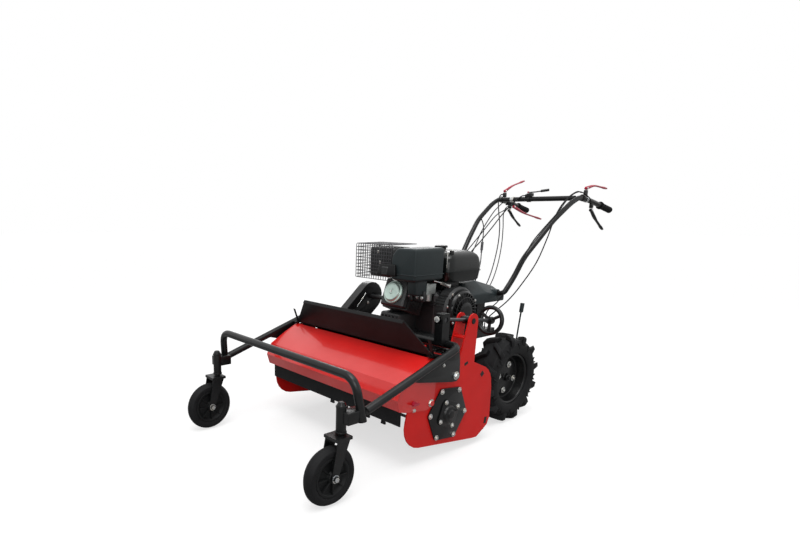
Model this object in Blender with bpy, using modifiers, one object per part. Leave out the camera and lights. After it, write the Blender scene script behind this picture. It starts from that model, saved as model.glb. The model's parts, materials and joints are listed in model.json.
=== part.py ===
"""Walk-behind flail mower for stubble: a petrol engine on a two-wheeled tractor unit, a full-width
flail deck in front of it, and two castors on a tube frame whose angle a hand screw sets.

Metres, +Z up, the ground at z = 0. The machine faces -Y and its left side is +X. Places along the
machine are counted from the drive axle, which lies at AXLE_Y so that the origin is under the middle.
"""
import math

import bpy
import bmesh
from mathutils import Matrix, Vector

# Driving sizes
GAP = 0.0003            # between pieces that touch
AXLE_Y = 0.1354         # drive axle from the origin
CUT_HALF = 0.4495       # outer faces of the deck's side plates
PLATE = 0.006           # side plates, arms and gussets
SHEET = 0.003           # hood and shield
DECK_SHEET = 0.004
SHOULDER = 0.35         # share of a bent lever before its elbow

# Drive wheels
WHEEL_R = 0.2208        # over the lugs
WHEEL_W = 0.130
WHEEL_X = 0.3225        # middle of the tyre
WHEEL_STEPS = 18
LUG = 0.022             # height of a tread lug
LUG_LEAN = 24           # degrees
LUGS = 12
RIM_R = 0.128
AXLE_R = 0.016
WHEEL_BOLT_R = 0.065

# Gearbox and main frame
GEARBOX = (0.150, 0.190, 0.180)
AXLE_TUBE_R = 0.028
AXLE_TUBE_END = WHEEL_X - 0.037
ENGINE_BASE_Z = 0.425
FRAME_TOP = ENGINE_BASE_Z - GAP
FRAME_SHEET = 0.006
FRAME_RAIL = 0.040
FRAME_FRONT = -0.365
FRAME_REAR = 0.195
FRAME_RAIL_X = 0.105
FRAME_CAP = FRAME_TOP - FRAME_SHEET + 0.001     # top of the side rails
GEAR_LEVER = (0.195, 0.300)

# Castors
CASTOR_R = 0.1138
CASTOR_W = 0.052
CASTOR_X = CUT_HALF + 0.0041
CASTOR_SWIVEL_Y = -1.2246
CASTOR_TRAIL = 0.0517
CASTOR_BORE = 0.008
CASTOR_STEPS = 18
FORK_TOP = 2 * CASTOR_R + 0.0344
FORK_SHEET = 0.005
SOCKET_TOP = FORK_TOP + 0.106
SOCKET_R = 0.019
STEM_R = 0.012

# Castor frame, from points (y, z) on the middle of its tubes
TUBE_R = 0.0165
RAIL_X = CUT_HALF + 0.0395
RAIL_FRONT = (-1.156, FORK_TOP + 0.071)
RAIL_REAR = (-0.617, 0.500)
RAIL_SPLIT = -0.700
CROSS_BEND = 0.070
HOOP_X = RAIL_X - 0.019
HOOP_Y = -1.1785
HOOP_Z = 0.468
HOOP_BEND = 0.055
GUSSET_X = RAIL_X - 0.014
PIVOT = (-0.6129, 0.3761)   # castor frame on the side plates
PIVOT_R = 0.008

# Rotor
ROTOR = (-0.6156, 0.2009)
ROTOR_TUBE_R = 0.045
ROTOR_SHAFT_R = 0.015
SHAFT_CLEARANCE = 0.0006
ROTOR_HALF = CUT_HALF - 0.0445      # outer discs
ROD_CIRCLE = 0.085
ROD_R = 0.007
DISC_R = 0.104
DISC_STEPS = 14
FLAIL_LEN = 0.082
FLAIL_HALF = 0.008
FLAILS_PER_BAY = 2
BAYS = 3
BAY = 2 * ROTOR_HALF / BAYS
ROWS = 3

# Deck, from (y, z) points of its profile
PLATE_REAR = -0.296
ROOF_TOP = 0.420
ROOF = [(-0.306, 0.140), (-0.306, 0.255), (-0.330, 0.318), (-0.378, 0.362), (-0.450, 0.400),
        (-0.560, ROOF_TOP), (-0.690, ROOF_TOP)]
HOOD = [(-0.738, 0.462), (-0.815, 0.426), (-0.905, 0.376), (-0.932, 0.322), (-0.916, 0.272)]
HOOD_PIVOT = (-0.729, 0.272)
HOOD_PIN_R = 0.006
HOOD_LIFT = 25          # degrees
FLAP_X = CUT_HALF + GAP + SHEET     # outer face of the hood's flaps
LATCH = (-0.838, 0.292)
LATCH_R = 0.0045
CURTAIN_TOP_FRONT = (-0.893, 0.284)
CURTAIN_TOP_REAR = (-0.318, 0.250)
CURTAIN = 0.005
SHIELD_TOP = (-0.782, 0.607)
SHIELD_FOLD = (-0.732, 0.474)
SHIELD_TOP_HALF = CUT_HALF - 0.1175
SHIELD_FOOT_HALF = CUT_HALF + 0.0025
COVER_CORNER = 0.132        # six-sided bearing cover, over its corners
COVER_ANGLES = (112, 66, 12, -48, -104, 172)

# Height adjuster
ARM_PIN = (-0.474, 0.585)
ARM_R = 0.033
ARM_INNER_X = CUT_HALF - 0.0615
TRUNNION_R = 0.0125
SCREW_X = CUT_HALF - 0.0345
SCREW_R = 0.008
SCREW_NECK_R = SCREW_R - 0.001
THREAD_CLEARANCE = 0.0012
SCREW_FRONT = (-0.640, 0.606)
POST = (0.040, 0.046)
POST_TOP = 0.632
BARREL_R = 0.0115
HANDWHEEL_Y = -0.300
HANDWHEEL_R = 0.068
HANDWHEEL_RIM_R = 0.0085

# Engine
CRANK = (-0.180, 0.557)
CYL_TILT = math.radians(20)
CYL_X = -0.055
CASE_X = (-0.135, 0.105)
CASE_TOP = 0.650
FINS = 5
FIN_PITCH = 0.021
SHROUD_R = 0.122
RECOIL_X = 0.166
RECOIL_R = 0.104
RECOIL_DEPTH = 0.040
RECOIL_SLOTS = 9
TANK_X = (-0.205, 0.140)
TANK_Y = (-0.252, 0.030)
TANK_Z = (0.694, 0.852)
CAP_AT = (0.000, -0.150)
AIR_X = (-0.032, 0.122)
AIR_Y = (-0.482, -0.272)
AIR_Z = (0.716, 0.872)
INTAKE_X = 0.070
MUFFLER_X = (-0.238, -0.066)
MUFFLER_Y = (-0.428, -0.288)
MUFFLER_Z = (0.716, 0.866)
GUARD_X = (-0.312, -0.060)
GUARD_Y = (-0.452, -0.268)
GUARD_Z = (0.704, 0.882)
GUARD_PITCH = 0.062
GUARD_WIRE = 0.0030

# Belt drive on the right
PULLEY_X = -CUT_HALF - 0.0325
ENGINE_PULLEY_R = 0.060
ROTOR_PULLEY_R = 0.055
GROOVE = 0.010
BELT_W = 0.030
BELT_COVER_BACK = -CUT_HALF - 0.0065
BELT_COVER_FRONT = PULLEY_X - 0.0279
BELT_COVER_WALL = 0.0025
BELT_COVER_R = (0.084, 0.078)

# Console and handlebars
CONSOLE_BOTTOM = 0.565
CONSOLE = ((-0.115, 0.115), (-0.045, 0.250), (CONSOLE_BOTTOM, 0.683))
BAR_R = 0.0140
BAR_END = (0.2645, 1.067, 1.052)
BAR_PATH = [(0.118, 0.185, 0.612), (0.165, 0.190, 0.614), (0.178, 0.255, 0.700), (0.195, 0.300, 0.800),
            (0.215, 0.380, 0.885), (0.236, 0.490, 0.998), (0.248, 0.640, 1.093), (0.252, 0.715, 1.122),
            (0.257, 0.850, 1.100)]
BAR_BEND = 0.060
GRIP_LEN = 0.125
GRIP_R = BAR_R + 0.0045
CROSSBAR = (0.699, 1.1165)
HOUSING_X = -0.040
BUTTON = (-0.050, 0.699, 1.1560)
BUTTON_R = 0.005
BUTTON_WELL = 1.1480        # floor of the button's well
PERCH_RED = (0.2535, 0.775, 1.166)
PERCH_BLACK = (0.2590, 0.850, 1.064)
PERCH_INNER = (-0.205, 0.812, 1.092)
LEVER_R = 0.0058
CABLE_R = 0.0032

PARTS = bpy.data.collections.new("stubble_mower")
CUTTERS = bpy.data.collections.new("cutters")


def clear_scene():
    for ob in list(bpy.data.objects):
        bpy.data.objects.remove(ob, do_unlink=True)
    bpy.context.scene.collection.children.link(PARTS)
    bpy.context.scene.collection.children.link(CUTTERS)


def finish(name, colour, roughness, metallic=0.0):
    """A Principled material for one kind of surface."""
    mat = bpy.data.materials.new(name)
    mat.use_nodes = True
    shader = mat.node_tree.nodes["Principled BSDF"]
    shader.inputs["Base Color"].default_value = (*colour, 1.0)
    shader.inputs["Roughness"].default_value = roughness
    shader.inputs["Metallic"].default_value = metallic
    mat.diffuse_color = (*colour, 1.0)
    return mat


RED = (0.55, 0.012, 0.010)
BLACK = (0.012, 0.013, 0.014)


def at(x, y, z):
    """A point whose y is counted from the drive axle."""
    return Vector((x, AXLE_Y + y, z))


# Shape helpers: each returns a closed mesh object in world coordinates

def scrap(mesh):
    ob = bpy.data.objects.new("piece", mesh)
    CUTTERS.objects.link(ob)
    ob.hide_render = True
    ob.display_type = "WIRE"
    return ob


def solidify(ob, merge=1e-5):
    """Apply an object's modifiers or curve bevel, weld it and give it plain coordinates."""
    graph = bpy.context.evaluated_depsgraph_get()
    graph.update()
    mesh = bpy.data.meshes.new_from_object(ob.evaluated_get(graph))
    mesh.transform(ob.matrix_world)
    bm = bmesh.new()
    bm.from_mesh(mesh)
    bmesh.ops.remove_doubles(bm, verts=bm.verts, dist=merge)
    bmesh.ops.dissolve_degenerate(bm, edges=bm.edges, dist=merge)
    bmesh.ops.recalc_face_normals(bm, faces=bm.faces)
    bm.to_mesh(mesh)
    bm.free()
    bpy.data.objects.remove(ob, do_unlink=True)
    return scrap(mesh)


def turn_to(axis):
    """Rotation that takes local Z to the named axis."""
    if axis == "X":
        return Matrix.Rotation(math.radians(90), 4, "Y")
    if axis == "Y":
        return Matrix.Rotation(math.radians(-90), 4, "X")
    if axis == "Z":
        return Matrix.Identity(4)
    return axis.normalized().to_track_quat("Z", "Y").to_matrix().to_4x4()


def block(size, centre, bevel=0.0, segments=1, turn=None):
    bm = bmesh.new()
    bmesh.ops.create_cube(bm, size=1.0)
    bmesh.ops.scale(bm, vec=Vector(size), verts=bm.verts)
    mesh = bpy.data.meshes.new("block")
    bm.to_mesh(mesh)
    bm.free()
    ob = scrap(mesh)
    if bevel:
        mod = ob.modifiers.new("edge", "BEVEL")
        mod.width = bevel
        mod.segments = segments
        mod.limit_method = "NONE"
    place = Matrix.Translation(centre)
    ob.matrix_world = place @ turn if turn else place
    bpy.context.view_layer.update()
    return solidify(ob)


def rod(radius, length, centre, axis="X", sides=16, end_radius=None):
    """A cylinder, or a cone when the far end has its own radius."""
    bm = bmesh.new()
    far = radius if end_radius is None else end_radius
    bmesh.ops.create_cone(bm, cap_ends=True, segments=sides, radius1=radius, radius2=far, depth=length)
    bmesh.ops.transform(bm, matrix=Matrix.Translation(centre) @ turn_to(axis), verts=bm.verts)
    mesh = bpy.data.meshes.new("rod")
    bm.to_mesh(mesh)
    bm.free()
    return scrap(mesh)


def between(radius, start, end, sides=10):
    axis = end - start
    return rod(radius, axis.length, (start + end) / 2, axis, sides)


def turned(profile, centre, axis="X", steps=24):
    """Spin a profile of (radius, height) pairs, outer side from top to bottom, about an axis."""
    mesh = bpy.data.meshes.new("profile")
    count = len(profile)
    ring = all(r > 0 for r, _ in profile)
    edges = [(i, (i + 1) % count) for i in range(count if ring else count - 1)]
    mesh.from_pydata([(r, 0.0, h) for r, h in profile], edges, [])
    ob = scrap(mesh)
    mod = ob.modifiers.new("spin", "SCREW")
    mod.steps = steps
    mod.render_steps = steps
    mod.use_merge_vertices = True
    mod.merge_threshold = 1e-5
    ob.matrix_world = Matrix.Translation(centre) @ turn_to(axis)
    bpy.context.view_layer.update()
    return solidify(ob)


def plate(outline, x0, x1, holes=()):
    """A flat piece across the machine: its outline and holes are (y, z) loops, its faces at x0 and x1."""
    curve = bpy.data.curves.new("outline", "CURVE")
    curve.dimensions = "2D"
    curve.fill_mode = "BOTH"
    curve.extrude = abs(x1 - x0) / 2
    for loop in (outline, *holes):
        spline = curve.splines.new("POLY")
        spline.points.add(len(loop) - 1)
        for point, (y, z) in zip(spline.points, loop):
            point.co = (AXLE_Y + y, z, 0.0, 1.0)
        spline.use_cyclic_u = True
    ob = bpy.data.objects.new("plate", curve)
    CUTTERS.objects.link(ob)
    ob.matrix_world = Matrix(((0, 0, 1, (x0 + x1) / 2), (1, 0, 0, 0), (0, 1, 0, 0), (0, 0, 0, 1)))
    bpy.context.view_layer.update()
    return solidify(ob)


def arc(centre, radius, start, end, steps):
    """Points of an arc about a (y, z) centre, angles in degrees."""
    angles = [math.radians(start + (end - start) * i / steps) for i in range(steps + 1)]
    return [(centre[0] + radius * math.cos(a), centre[1] + radius * math.sin(a)) for a in angles]


def hole(centre, radius, steps=12):
    return arc(centre, radius, 0, 360, steps)[:-1]


def bent(points, radius, steps=4):
    """Round every inner corner of a 3-D polyline."""
    path = [points[0]]
    for before, corner, after in zip(points, points[1:], points[2:]):
        a = (before - corner).normalized()
        b = (after - corner).normalized()
        half = a.angle(b) / 2
        reach = min(radius / math.tan(half), 0.49 * (before - corner).length, 0.49 * (after - corner).length)
        r = reach * math.tan(half)
        centre = corner + (a + b).normalized() * (r / math.sin(half))
        start = corner + a * reach - centre
        end = corner + b * reach - centre
        for i in range(steps + 1):
            path.append(centre + start.slerp(end, i / steps).normalized() * r)
    path.append(points[-1])
    return path


def smooth_path(points, per_span=4):
    """A smooth curve through chosen points (Catmull-Rom)."""
    ends = [points[0] * 2 - points[1], *points, points[-1] * 2 - points[-2]]
    path = []
    for p0, p1, p2, p3 in zip(ends, ends[1:], ends[2:], ends[3:]):
        for i in range(per_span):
            t = i / per_span
            path.append(0.5 * (2 * p1 + (p2 - p0) * t + (2 * p0 - 5 * p1 + 4 * p2 - p3) * t * t
                               + (3 * p1 - p0 - 3 * p2 + p3) * t ** 3))
    path.append(points[-1])
    return path


def pipe(path, radius, resolution=3):
    """A round bar or tube along a path of points."""
    curve = bpy.data.curves.new("pipe", "CURVE")
    curve.dimensions = "3D"
    curve.bevel_depth = radius
    curve.bevel_resolution = resolution
    curve.use_fill_caps = True
    spline = curve.splines.new("POLY")
    spline.points.add(len(path) - 1)
    for point, co in zip(spline.points, path):
        point.co = (*co, 1.0)
    ob = bpy.data.objects.new("pipe", curve)
    CUTTERS.objects.link(ob)
    return solidify(ob)


def combine(base, others, operation):
    for other in others:
        mod = base.modifiers.new(operation, "BOOLEAN")
        mod.operation = operation
        mod.solver = "EXACT"
        mod.object = other
    bpy.context.view_layer.update()
    result = solidify(base)
    for other in others:
        bpy.data.objects.remove(other, do_unlink=True)
    return result


def fuse(base, *others):
    return combine(base, others, "UNION")


def cut(base, *tools):
    return combine(base, tools, "DIFFERENCE")


def mirrored(ob):
    """The same piece on the machine's other side."""
    mesh = ob.data.copy()
    mesh.transform(Matrix.Scale(-1, 4, Vector((1, 0, 0))))
    mesh.flip_normals()
    return scrap(mesh)


def keep(name, ob, mat, origin=None):
    """Name a finished piece, give it its material and put its origin on its joint's axis."""
    ob.name = name
    ob.data.name = name
    CUTTERS.objects.unlink(ob)
    PARTS.objects.link(ob)
    ob.hide_render = False
    ob.display_type = "TEXTURED"
    if origin is not None:
        ob.data.transform(Matrix.Translation(-origin))
        ob.location = origin
    ob.data.materials.clear()
    ob.data.materials.append(mat)
    ob.data.shade_smooth()
    ob.data.set_sharp_from_angle(angle=math.radians(35))
    return ob


def hex_bolt(centre, axis, size=0.0065, height=0.006):
    return rod(size, height, centre, axis, 6)


def join(pieces):
    """Several pieces that don't touch, as one cutter or operand."""
    bm = bmesh.new()
    for piece in pieces:
        bm.from_mesh(piece.data)
        bpy.data.objects.remove(piece, do_unlink=True)
    mesh = bpy.data.meshes.new("joined")
    bm.to_mesh(mesh)
    bm.free()
    return scrap(mesh)


def spun(ob, centre, degrees):
    """A copy of a piece turned about the cross axis through a point."""
    turn = Matrix.Rotation(math.radians(degrees), 4, "X")
    mesh = ob.data.copy()
    mesh.transform(Matrix.Translation(centre) @ turn @ Matrix.Translation(-centre))
    return scrap(mesh)


def ring_of(ob, centre, count, start=0.0):
    copies = [spun(ob, centre, start + 360 * i / count) for i in range(count)]
    bpy.data.objects.remove(ob, do_unlink=True)
    return join(copies)


def offset(points, distance):
    """A (y, z) line moved sideways to its left, with its corners kept sharp."""
    moved = []
    for i, (y, z) in enumerate(points):
        dirs = []
        for a, b in ((points[max(i - 1, 0)], (y, z)), ((y, z), points[min(i + 1, len(points) - 1)])):
            length = math.hypot(b[0] - a[0], b[1] - a[1])
            if length:
                dirs.append(((b[0] - a[0]) / length, (b[1] - a[1]) / length))
        ny = -sum(d[1] for d in dirs)
        nz = sum(d[0] for d in dirs)
        size = math.hypot(ny, nz)
        ny, nz = ny / size, nz / size
        miter = distance / (ny * -dirs[0][1] + nz * dirs[0][0])
        moved.append((y + ny * miter, z + nz * miter))
    return moved


def strip(points, thickness, x0, x1):
    """A folded sheet: a (y, z) line drawn along its outer face, thickened to its left."""
    return plate(list(points) + offset(points, thickness)[::-1], x0, x1)


# Drive wheels and gearbox

def drive_tyre():
    half = WHEEL_W / 2
    carcass_r = WHEEL_R - LUG
    bulge_r = (RIM_R + carcass_r) / 2
    centre = at(WHEEL_X, 0, WHEEL_R)
    carcass = turned([
        (RIM_R, half - 0.013), (bulge_r, half - 0.004), (carcass_r, half - 0.016),
        (carcass_r, -half + 0.016), (bulge_r, -half + 0.004), (RIM_R, -half + 0.013),
    ], centre, "X", WHEEL_STEPS)
    lugs = []
    for side in (1, -1):
        lean = Matrix.Rotation(math.radians(LUG_LEAN * side), 4, "Z")
        height = LUG + 0.010
        lug = block((0.066, 0.026, height), (0, 0, 0), turn=lean)
        lug.data.transform(Matrix.Translation(centre + Vector((side * 0.034, 0, height / 2 - WHEEL_R))))
        lugs.append(ring_of(lug, centre, LUGS, 0 if side > 0 else 180 / LUGS))
    return fuse(carcass, *lugs)


def drive_rim():
    centre = at(WHEEL_X, 0, WHEEL_R)
    r = RIM_R - GAP
    rim = turned([
        (0, 0.0131), (0.086, 0.0131), (0.093, 0.003), (0.112, 0.002), (0.119, 0.048), (r, 0.050),
        (r, -0.050), (0.119, -0.046), (0.112, -0.006), (0.034, -0.012), (0.034, -0.034), (AXLE_R, -0.034),
        (AXLE_R, -0.100), (0, -0.100),
    ], centre, "X", WHEEL_STEPS)
    bolts = []
    for i in range(4):
        a = math.radians(20 + 90 * i)
        place = Vector((0.0155, WHEEL_BOLT_R * math.cos(a), WHEEL_BOLT_R * math.sin(a)))
        bolts.append(hex_bolt(centre + place, "X", 0.009, 0.010))
    return fuse(rim, join(bolts))


def make_wheels(black, rubber):
    left = at(WHEEL_X, 0, WHEEL_R)
    right = at(-WHEEL_X, 0, WHEEL_R)
    tyre = drive_tyre()
    rim = drive_rim()
    keep("drive_tyre_right", mirrored(tyre), rubber, right)
    keep("drive_rim_right", mirrored(rim), black, right)
    keep("drive_tyre_left", tyre, rubber, left)
    keep("drive_rim_left", rim, black, left)


def make_gearbox(mat):
    body = block(GEARBOX, at(0, 0, WHEEL_R), 0.018)
    tube = rod(AXLE_TUBE_R, 2 * AXLE_TUBE_END, at(0, 0, WHEEL_R), "X", 12)
    flange = rod(0.052, GEARBOX[0] + 0.024, at(0, 0, WHEEL_R), "X", 12)
    nose = rod(0.040, 0.080, at(0, -0.120, WHEEL_R + 0.045), "Y", 12)
    arm = block((0.150, 0.030, 0.012), at(0.130, 0.098, WHEEL_R - 0.02))
    foot = block((0.030, 0.230, 0.012), at(GEAR_LEVER[0], 0.198, WHEEL_R - 0.02))
    ribs = [block((0.006, GEARBOX[1] + 0.012, GEARBOX[2] - 0.02), at(x, 0, WHEEL_R))
            for x in (-0.035, 0.035)]
    box = fuse(body, tube, flange, nose, arm, foot, *ribs)
    bores = [rod(AXLE_R + 2 * GAP, 0.075, at(s * (AXLE_TUBE_END - 0.0345), 0, WHEEL_R), "X", WHEEL_STEPS)
             for s in (1, -1)]
    keep("gearbox", cut(box, *bores), mat)


def make_main_frame(mat):
    deck = block((0.290, 0.400, FRAME_SHEET), at(0, -0.165, FRAME_TOP - FRAME_SHEET / 2))
    z = FRAME_TOP - FRAME_SHEET - FRAME_RAIL / 2
    length = FRAME_REAR - FRAME_FRONT
    size = (FRAME_RAIL, length, FRAME_RAIL + 0.002)
    pieces = [block(size, at(s * FRAME_RAIL_X, FRAME_FRONT + length / 2, z)) for s in (1, -1)]
    pieces += [block((0.250, 0.036, 0.036), at(0, y, z)) for y in (FRAME_FRONT + 0.025, 0.170)]
    leg_x = GEARBOX[0] / 2 + GAP + 0.016
    pieces += [block((0.006, 0.120, 0.170), at(s * leg_x, 0.0, z - 0.080)) for s in (1, -1)]
    post_top = CONSOLE_BOTTOM - GAP
    pieces.append(block((0.120, 0.070, post_top - z), at(0, 0.150, (post_top + z) / 2)))
    leg_hole = rod(0.053, 0.4, at(0, 0, WHEEL_R), "X", 20)
    keep("main_frame", cut(fuse(deck, *pieces), leg_hole), mat)


# Deck: side plates, roof, hood, shield, curtains

def plate_outline(arm):
    """Side plate: round front corner, slightly rising sole, chamfered heel, round top, and the lift arm."""
    line = arc((-0.775, 0.190), 0.104, 165, 262, 6)
    line += [(-0.420, 0.036), (-0.385, 0.034)]
    line += [(-0.310, 0.078), (PLATE_REAR, 0.110), (PLATE_REAR - 0.004, 0.258)]
    line += arc((-0.402, 0.275), 0.098, 0, 62, 4)
    if arm:
        line += [(-0.447, 0.400), (ARM_PIN[0] + ARM_R, ARM_PIN[1] - 0.02)]
        line += arc(ARM_PIN, ARM_R, 0, 180, 8)
        line += [(-0.552, 0.430)]
    else:
        line += [(-0.447, 0.400), (-0.552, 0.415)]
    line += arc((-0.640, 0.372), 0.046, 60, 120, 3)
    line += [(-0.720, 0.395), (-0.800, 0.340), (-0.862, 0.275)]
    return line


def latch_slot():
    """Open slot about the hood's pivot, in which the latch screw leaves the plate as the hood lifts."""
    away = math.hypot(LATCH[0] - HOOD_PIVOT[0], LATCH[1] - HOOD_PIVOT[1])
    rest = math.degrees(math.atan2(LATCH[1] - HOOD_PIVOT[1], LATCH[0] - HOOD_PIVOT[0]))
    half = LATCH_R + 3 * GAP
    open_end = rest - 2 * HOOD_LIFT
    line = arc(HOOD_PIVOT, away + half, open_end, rest, 5)
    line += arc(LATCH, half, rest, rest + 180, 6)[1:-1]
    return line + arc(HOOD_PIVOT, away - half, rest, open_end, 5)


def side_plate(arm):
    outer = CUT_HALF
    inner = CUT_HALF - PLATE
    holes = [hole(ROTOR, ROTOR_SHAFT_R + 0.012, 12), hole(PIVOT, PIVOT_R + 2 * GAP, 12)]
    holes.append(hole(HOOD_PIVOT, HOOD_PIN_R + 3 * GAP, 10))
    if arm:
        holes.append(hole(ARM_PIN, TRUNNION_R + 2 * GAP, 14))
    piece = plate(plate_outline(arm), inner, outer, holes)
    piece = cut(piece, plate(latch_slot(), inner - PLATE, outer + PLATE))
    if not arm:
        return piece
    low = 0.440
    inner_line = [(-0.455, low), (ARM_PIN[0] + ARM_R - 0.004, ARM_PIN[1] - 0.02)]
    inner_line += arc(ARM_PIN, ARM_R - 0.003, 0, 180, 8) + [(-0.545, low)]
    twin = plate(inner_line, ARM_INNER_X - PLATE, ARM_INNER_X, [hole(ARM_PIN, TRUNNION_R + 2 * GAP, 14)])
    web_x = (ARM_INNER_X + inner) / 2
    webs = [block((inner - ARM_INNER_X + 0.004, 0.050, PLATE), at(web_x, -0.500, z))
            for z in (low + 0.012, 0.515)]
    return fuse(piece, twin, *webs)


def make_deck(red, black, rubber):
    inner = CUT_HALF - PLATE - GAP
    shell = strip(ROOF, DECK_SHEET, -inner, inner)
    ears = [block((0.034, 0.060, 0.055), at(s * FRAME_RAIL_X, FRAME_FRONT - 0.034, 0.372), 0.002)
            for s in (1, -1)]
    keep("deck_shell", fuse(shell, *ears), red)
    keep("side_plate_left", side_plate(True), red)
    bore = ROTOR_SHAFT_R + SHAFT_CLEARANCE
    housing = turned([(bore, 0.008), (0.045, 0.008), (0.045, -0.004), (bore, -0.004)],
                     at(PLATE - CUT_HALF, *ROTOR), "X", 14)
    keep("side_plate_right", fuse(mirrored(side_plate(False)), housing), red)
    make_bearing_cover(black)
    make_hood(red)
    make_curtains(rubber)
    make_shield(black)


def round_rotor(radius, degrees):
    """The (y, z) point at a radius and an angle about the rotor."""
    a = math.radians(degrees)
    return (ROTOR[0] + radius * math.cos(a), ROTOR[1] + radius * math.sin(a))


def make_bearing_cover(mat):
    """Six-sided bolted plate with a four-bolt flange bearing on it."""
    line = [round_rotor(COVER_CORNER, a) for a in COVER_ANGLES]
    x0 = CUT_HALF + GAP
    bore = ROTOR_SHAFT_R + SHAFT_CLEARANCE
    cover = plate(line, x0, x0 + PLATE, [hole(ROTOR, bore + 0.010, 12)])
    flange = turned([(bore, 0.010), (0.024, 0.018), (0.038, 0.016), (0.046, 0.004), (0.066, 0.002),
                     (0.066, -0.007), (bore, -0.007)], at(x0 + PLATE + 0.004, *ROTOR), "X", 14)
    bolts = [hex_bolt(at(x0 + PLATE + 0.003, *round_rotor(COVER_CORNER - 0.016, a)), "X", 0.0075, 0.012)
             for a in COVER_ANGLES]
    keep("bearing_cover_left", fuse(cover, flange, *bolts), mat)


def make_hood(mat):
    """Visor hood: a folded sheet between two flaps that lie over the side plates and turn on two bolts."""
    sheet = strip(HOOD, SHEET, 0.001 - FLAP_X, FLAP_X - 0.001)
    rim = offset(HOOD, -0.001)
    py, pz = HOOD_PIVOT
    flap_line = arc(HOOD_PIVOT, 0.018, 270, 360, 3) + [(-0.700, 0.455)] + rim
    flap_line += [(-0.880, 0.262), (-0.755, 0.246)]
    pieces = []
    for s in (1, -1):
        x0, x1 = sorted((s * (CUT_HALF + GAP), s * FLAP_X))
        pieces.append(plate(flap_line, x0, x1, [hole(LATCH, LATCH_R + 2 * GAP, 8)]))
        pieces.append(rod(HOOD_PIN_R, 0.022, at(s * (FLAP_X - 0.008), py, pz), "X", 10))
        pieces.append(hex_bolt(at(s * (FLAP_X + 0.004), py, pz), "X", 0.012, 0.009))
    keep("front_hood", fuse(sheet, *pieces), mat, at(0, py, pz))


def make_curtains(rubber):
    half = CUT_HALF - PLATE - 0.006
    for name, (y, z), low in (("front_curtain", CURTAIN_TOP_FRONT, 0.200),
                              ("rear_curtain", CURTAIN_TOP_REAR, 0.050)):
        sheet = block((2 * half, CURTAIN, z - low), at(0, y, (z + low) / 2))
        bead = rod(0.006, 2 * half, at(0, y, z), "X", 8)
        keep(name, fuse(sheet, bead), rubber, at(0, y, z))


def make_shield(mat):
    """Leaning trapezoid guard whose foot is folded back and screwed to the roof."""
    line = [(SHIELD_TOP[0] - 0.010, SHIELD_TOP[1] - 0.014), SHIELD_TOP, SHIELD_FOLD, (-0.700, 0.464),
            (-0.640, 0.455), (-0.612, ROOF_TOP + GAP + SHEET), (-0.580, ROOF_TOP + GAP + SHEET)]
    sheet = strip(line[::-1], SHEET, -SHIELD_FOOT_HALF, SHIELD_FOOT_HALF)
    narrow = SHIELD_TOP_HALF / SHIELD_FOOT_HALF
    for v in sheet.data.vertices:
        if v.co.z > SHIELD_TOP[1] - 0.03:
            v.co.x *= narrow
        elif v.co.z < 0.470:
            v.co.x *= 0.95
    keep("deck_shield", sheet, mat)


# Rotor

def rod_place(row):
    """The (y, z) point of a row's rod, one of which stands 30 degrees above the rear."""
    return round_rotor(ROD_CIRCLE, 30 + 360 / ROWS * row)


def make_rotor(steel):
    y, z = ROTOR
    tube = rod(ROTOR_TUBE_R, 2 * ROTOR_HALF + 0.010, at(0, y, z), "X", 12)
    shaft_left = CUT_HALF + 0.0055
    shaft_right = PULLEY_X - BELT_W / 2 - 0.001
    shaft = rod(ROTOR_SHAFT_R, shaft_left - shaft_right, at((shaft_left + shaft_right) / 2, y, z), "X", 10)
    pins = [hole(rod_place(row), ROD_R + 4 * GAP, 6) for row in range(ROWS)]
    discs = []
    for i in range(BAYS + 1):
        x = BAY * i - ROTOR_HALF
        discs.append(plate(hole(ROTOR, DISC_R, DISC_STEPS), x - PLATE / 2, x + PLATE / 2, pins))
    pulley = turned(pulley_profile(ROTOR_PULLEY_R), at(PULLEY_X, y, z), "X", 16)
    keep("rotor", fuse(tube, shaft, *discs, pulley), steel, at(0, y, z))
    for row in range(ROWS):
        make_flail_row(row, steel)


def pulley_profile(radius):
    half = BELT_W / 2 + 0.004
    low = radius - GROOVE
    return [(0, half), (radius, half), (radius, half - 0.004), (low, half - 0.006),
            (low, 0.006 - half), (radius, 0.004 - half), (radius, -half), (0, -half)]


def make_flail_row(row, steel):
    """A rod through the discs with its flails, which hang straight down at rest."""
    y, z = rod_place(row)
    bar = rod(ROD_R, 2 * ROTOR_HALF + 0.012, at(0, y, z), "X", 6)
    flails = []
    pitch = 0.4 * BAY
    for bay in range(BAYS):
        for i in range(FLAILS_PER_BAY):
            x = BAY * (bay + 0.15) - ROTOR_HALF + pitch * (i + row / ROWS)
            flails.append(flail(at(x, y, z)))
    keep(f"flail_row_{row + 1}", fuse(bar, join(flails)), steel, at(0, y, z))


def flail(top):
    """One hammer flail: a shank from the rod that widens into a sharpened foot."""
    bm = bmesh.new()
    half_t = 0.005
    w = FLAIL_HALF
    foot = w + 0.006
    front = [(-w, 0.012), (w, 0.012), (w, -0.050), (foot, -FLAIL_LEN), (-foot, -FLAIL_LEN), (-w, -0.050)]
    verts = [bm.verts.new((x, -half_t, z)) for x, z in front]
    face = bm.faces.new(verts)
    extruded = bmesh.ops.extrude_face_region(bm, geom=[face])
    moved = [g for g in extruded["geom"] if isinstance(g, bmesh.types.BMVert)]
    bmesh.ops.translate(bm, verts=moved, vec=(0, 2 * half_t, 0))
    bmesh.ops.transform(bm, matrix=Matrix.Translation(top), verts=bm.verts)
    bmesh.ops.recalc_face_normals(bm, faces=bm.faces)
    mesh = bpy.data.meshes.new("flail")
    bm.to_mesh(mesh)
    bm.free()
    return scrap(mesh)


# Engine

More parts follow.
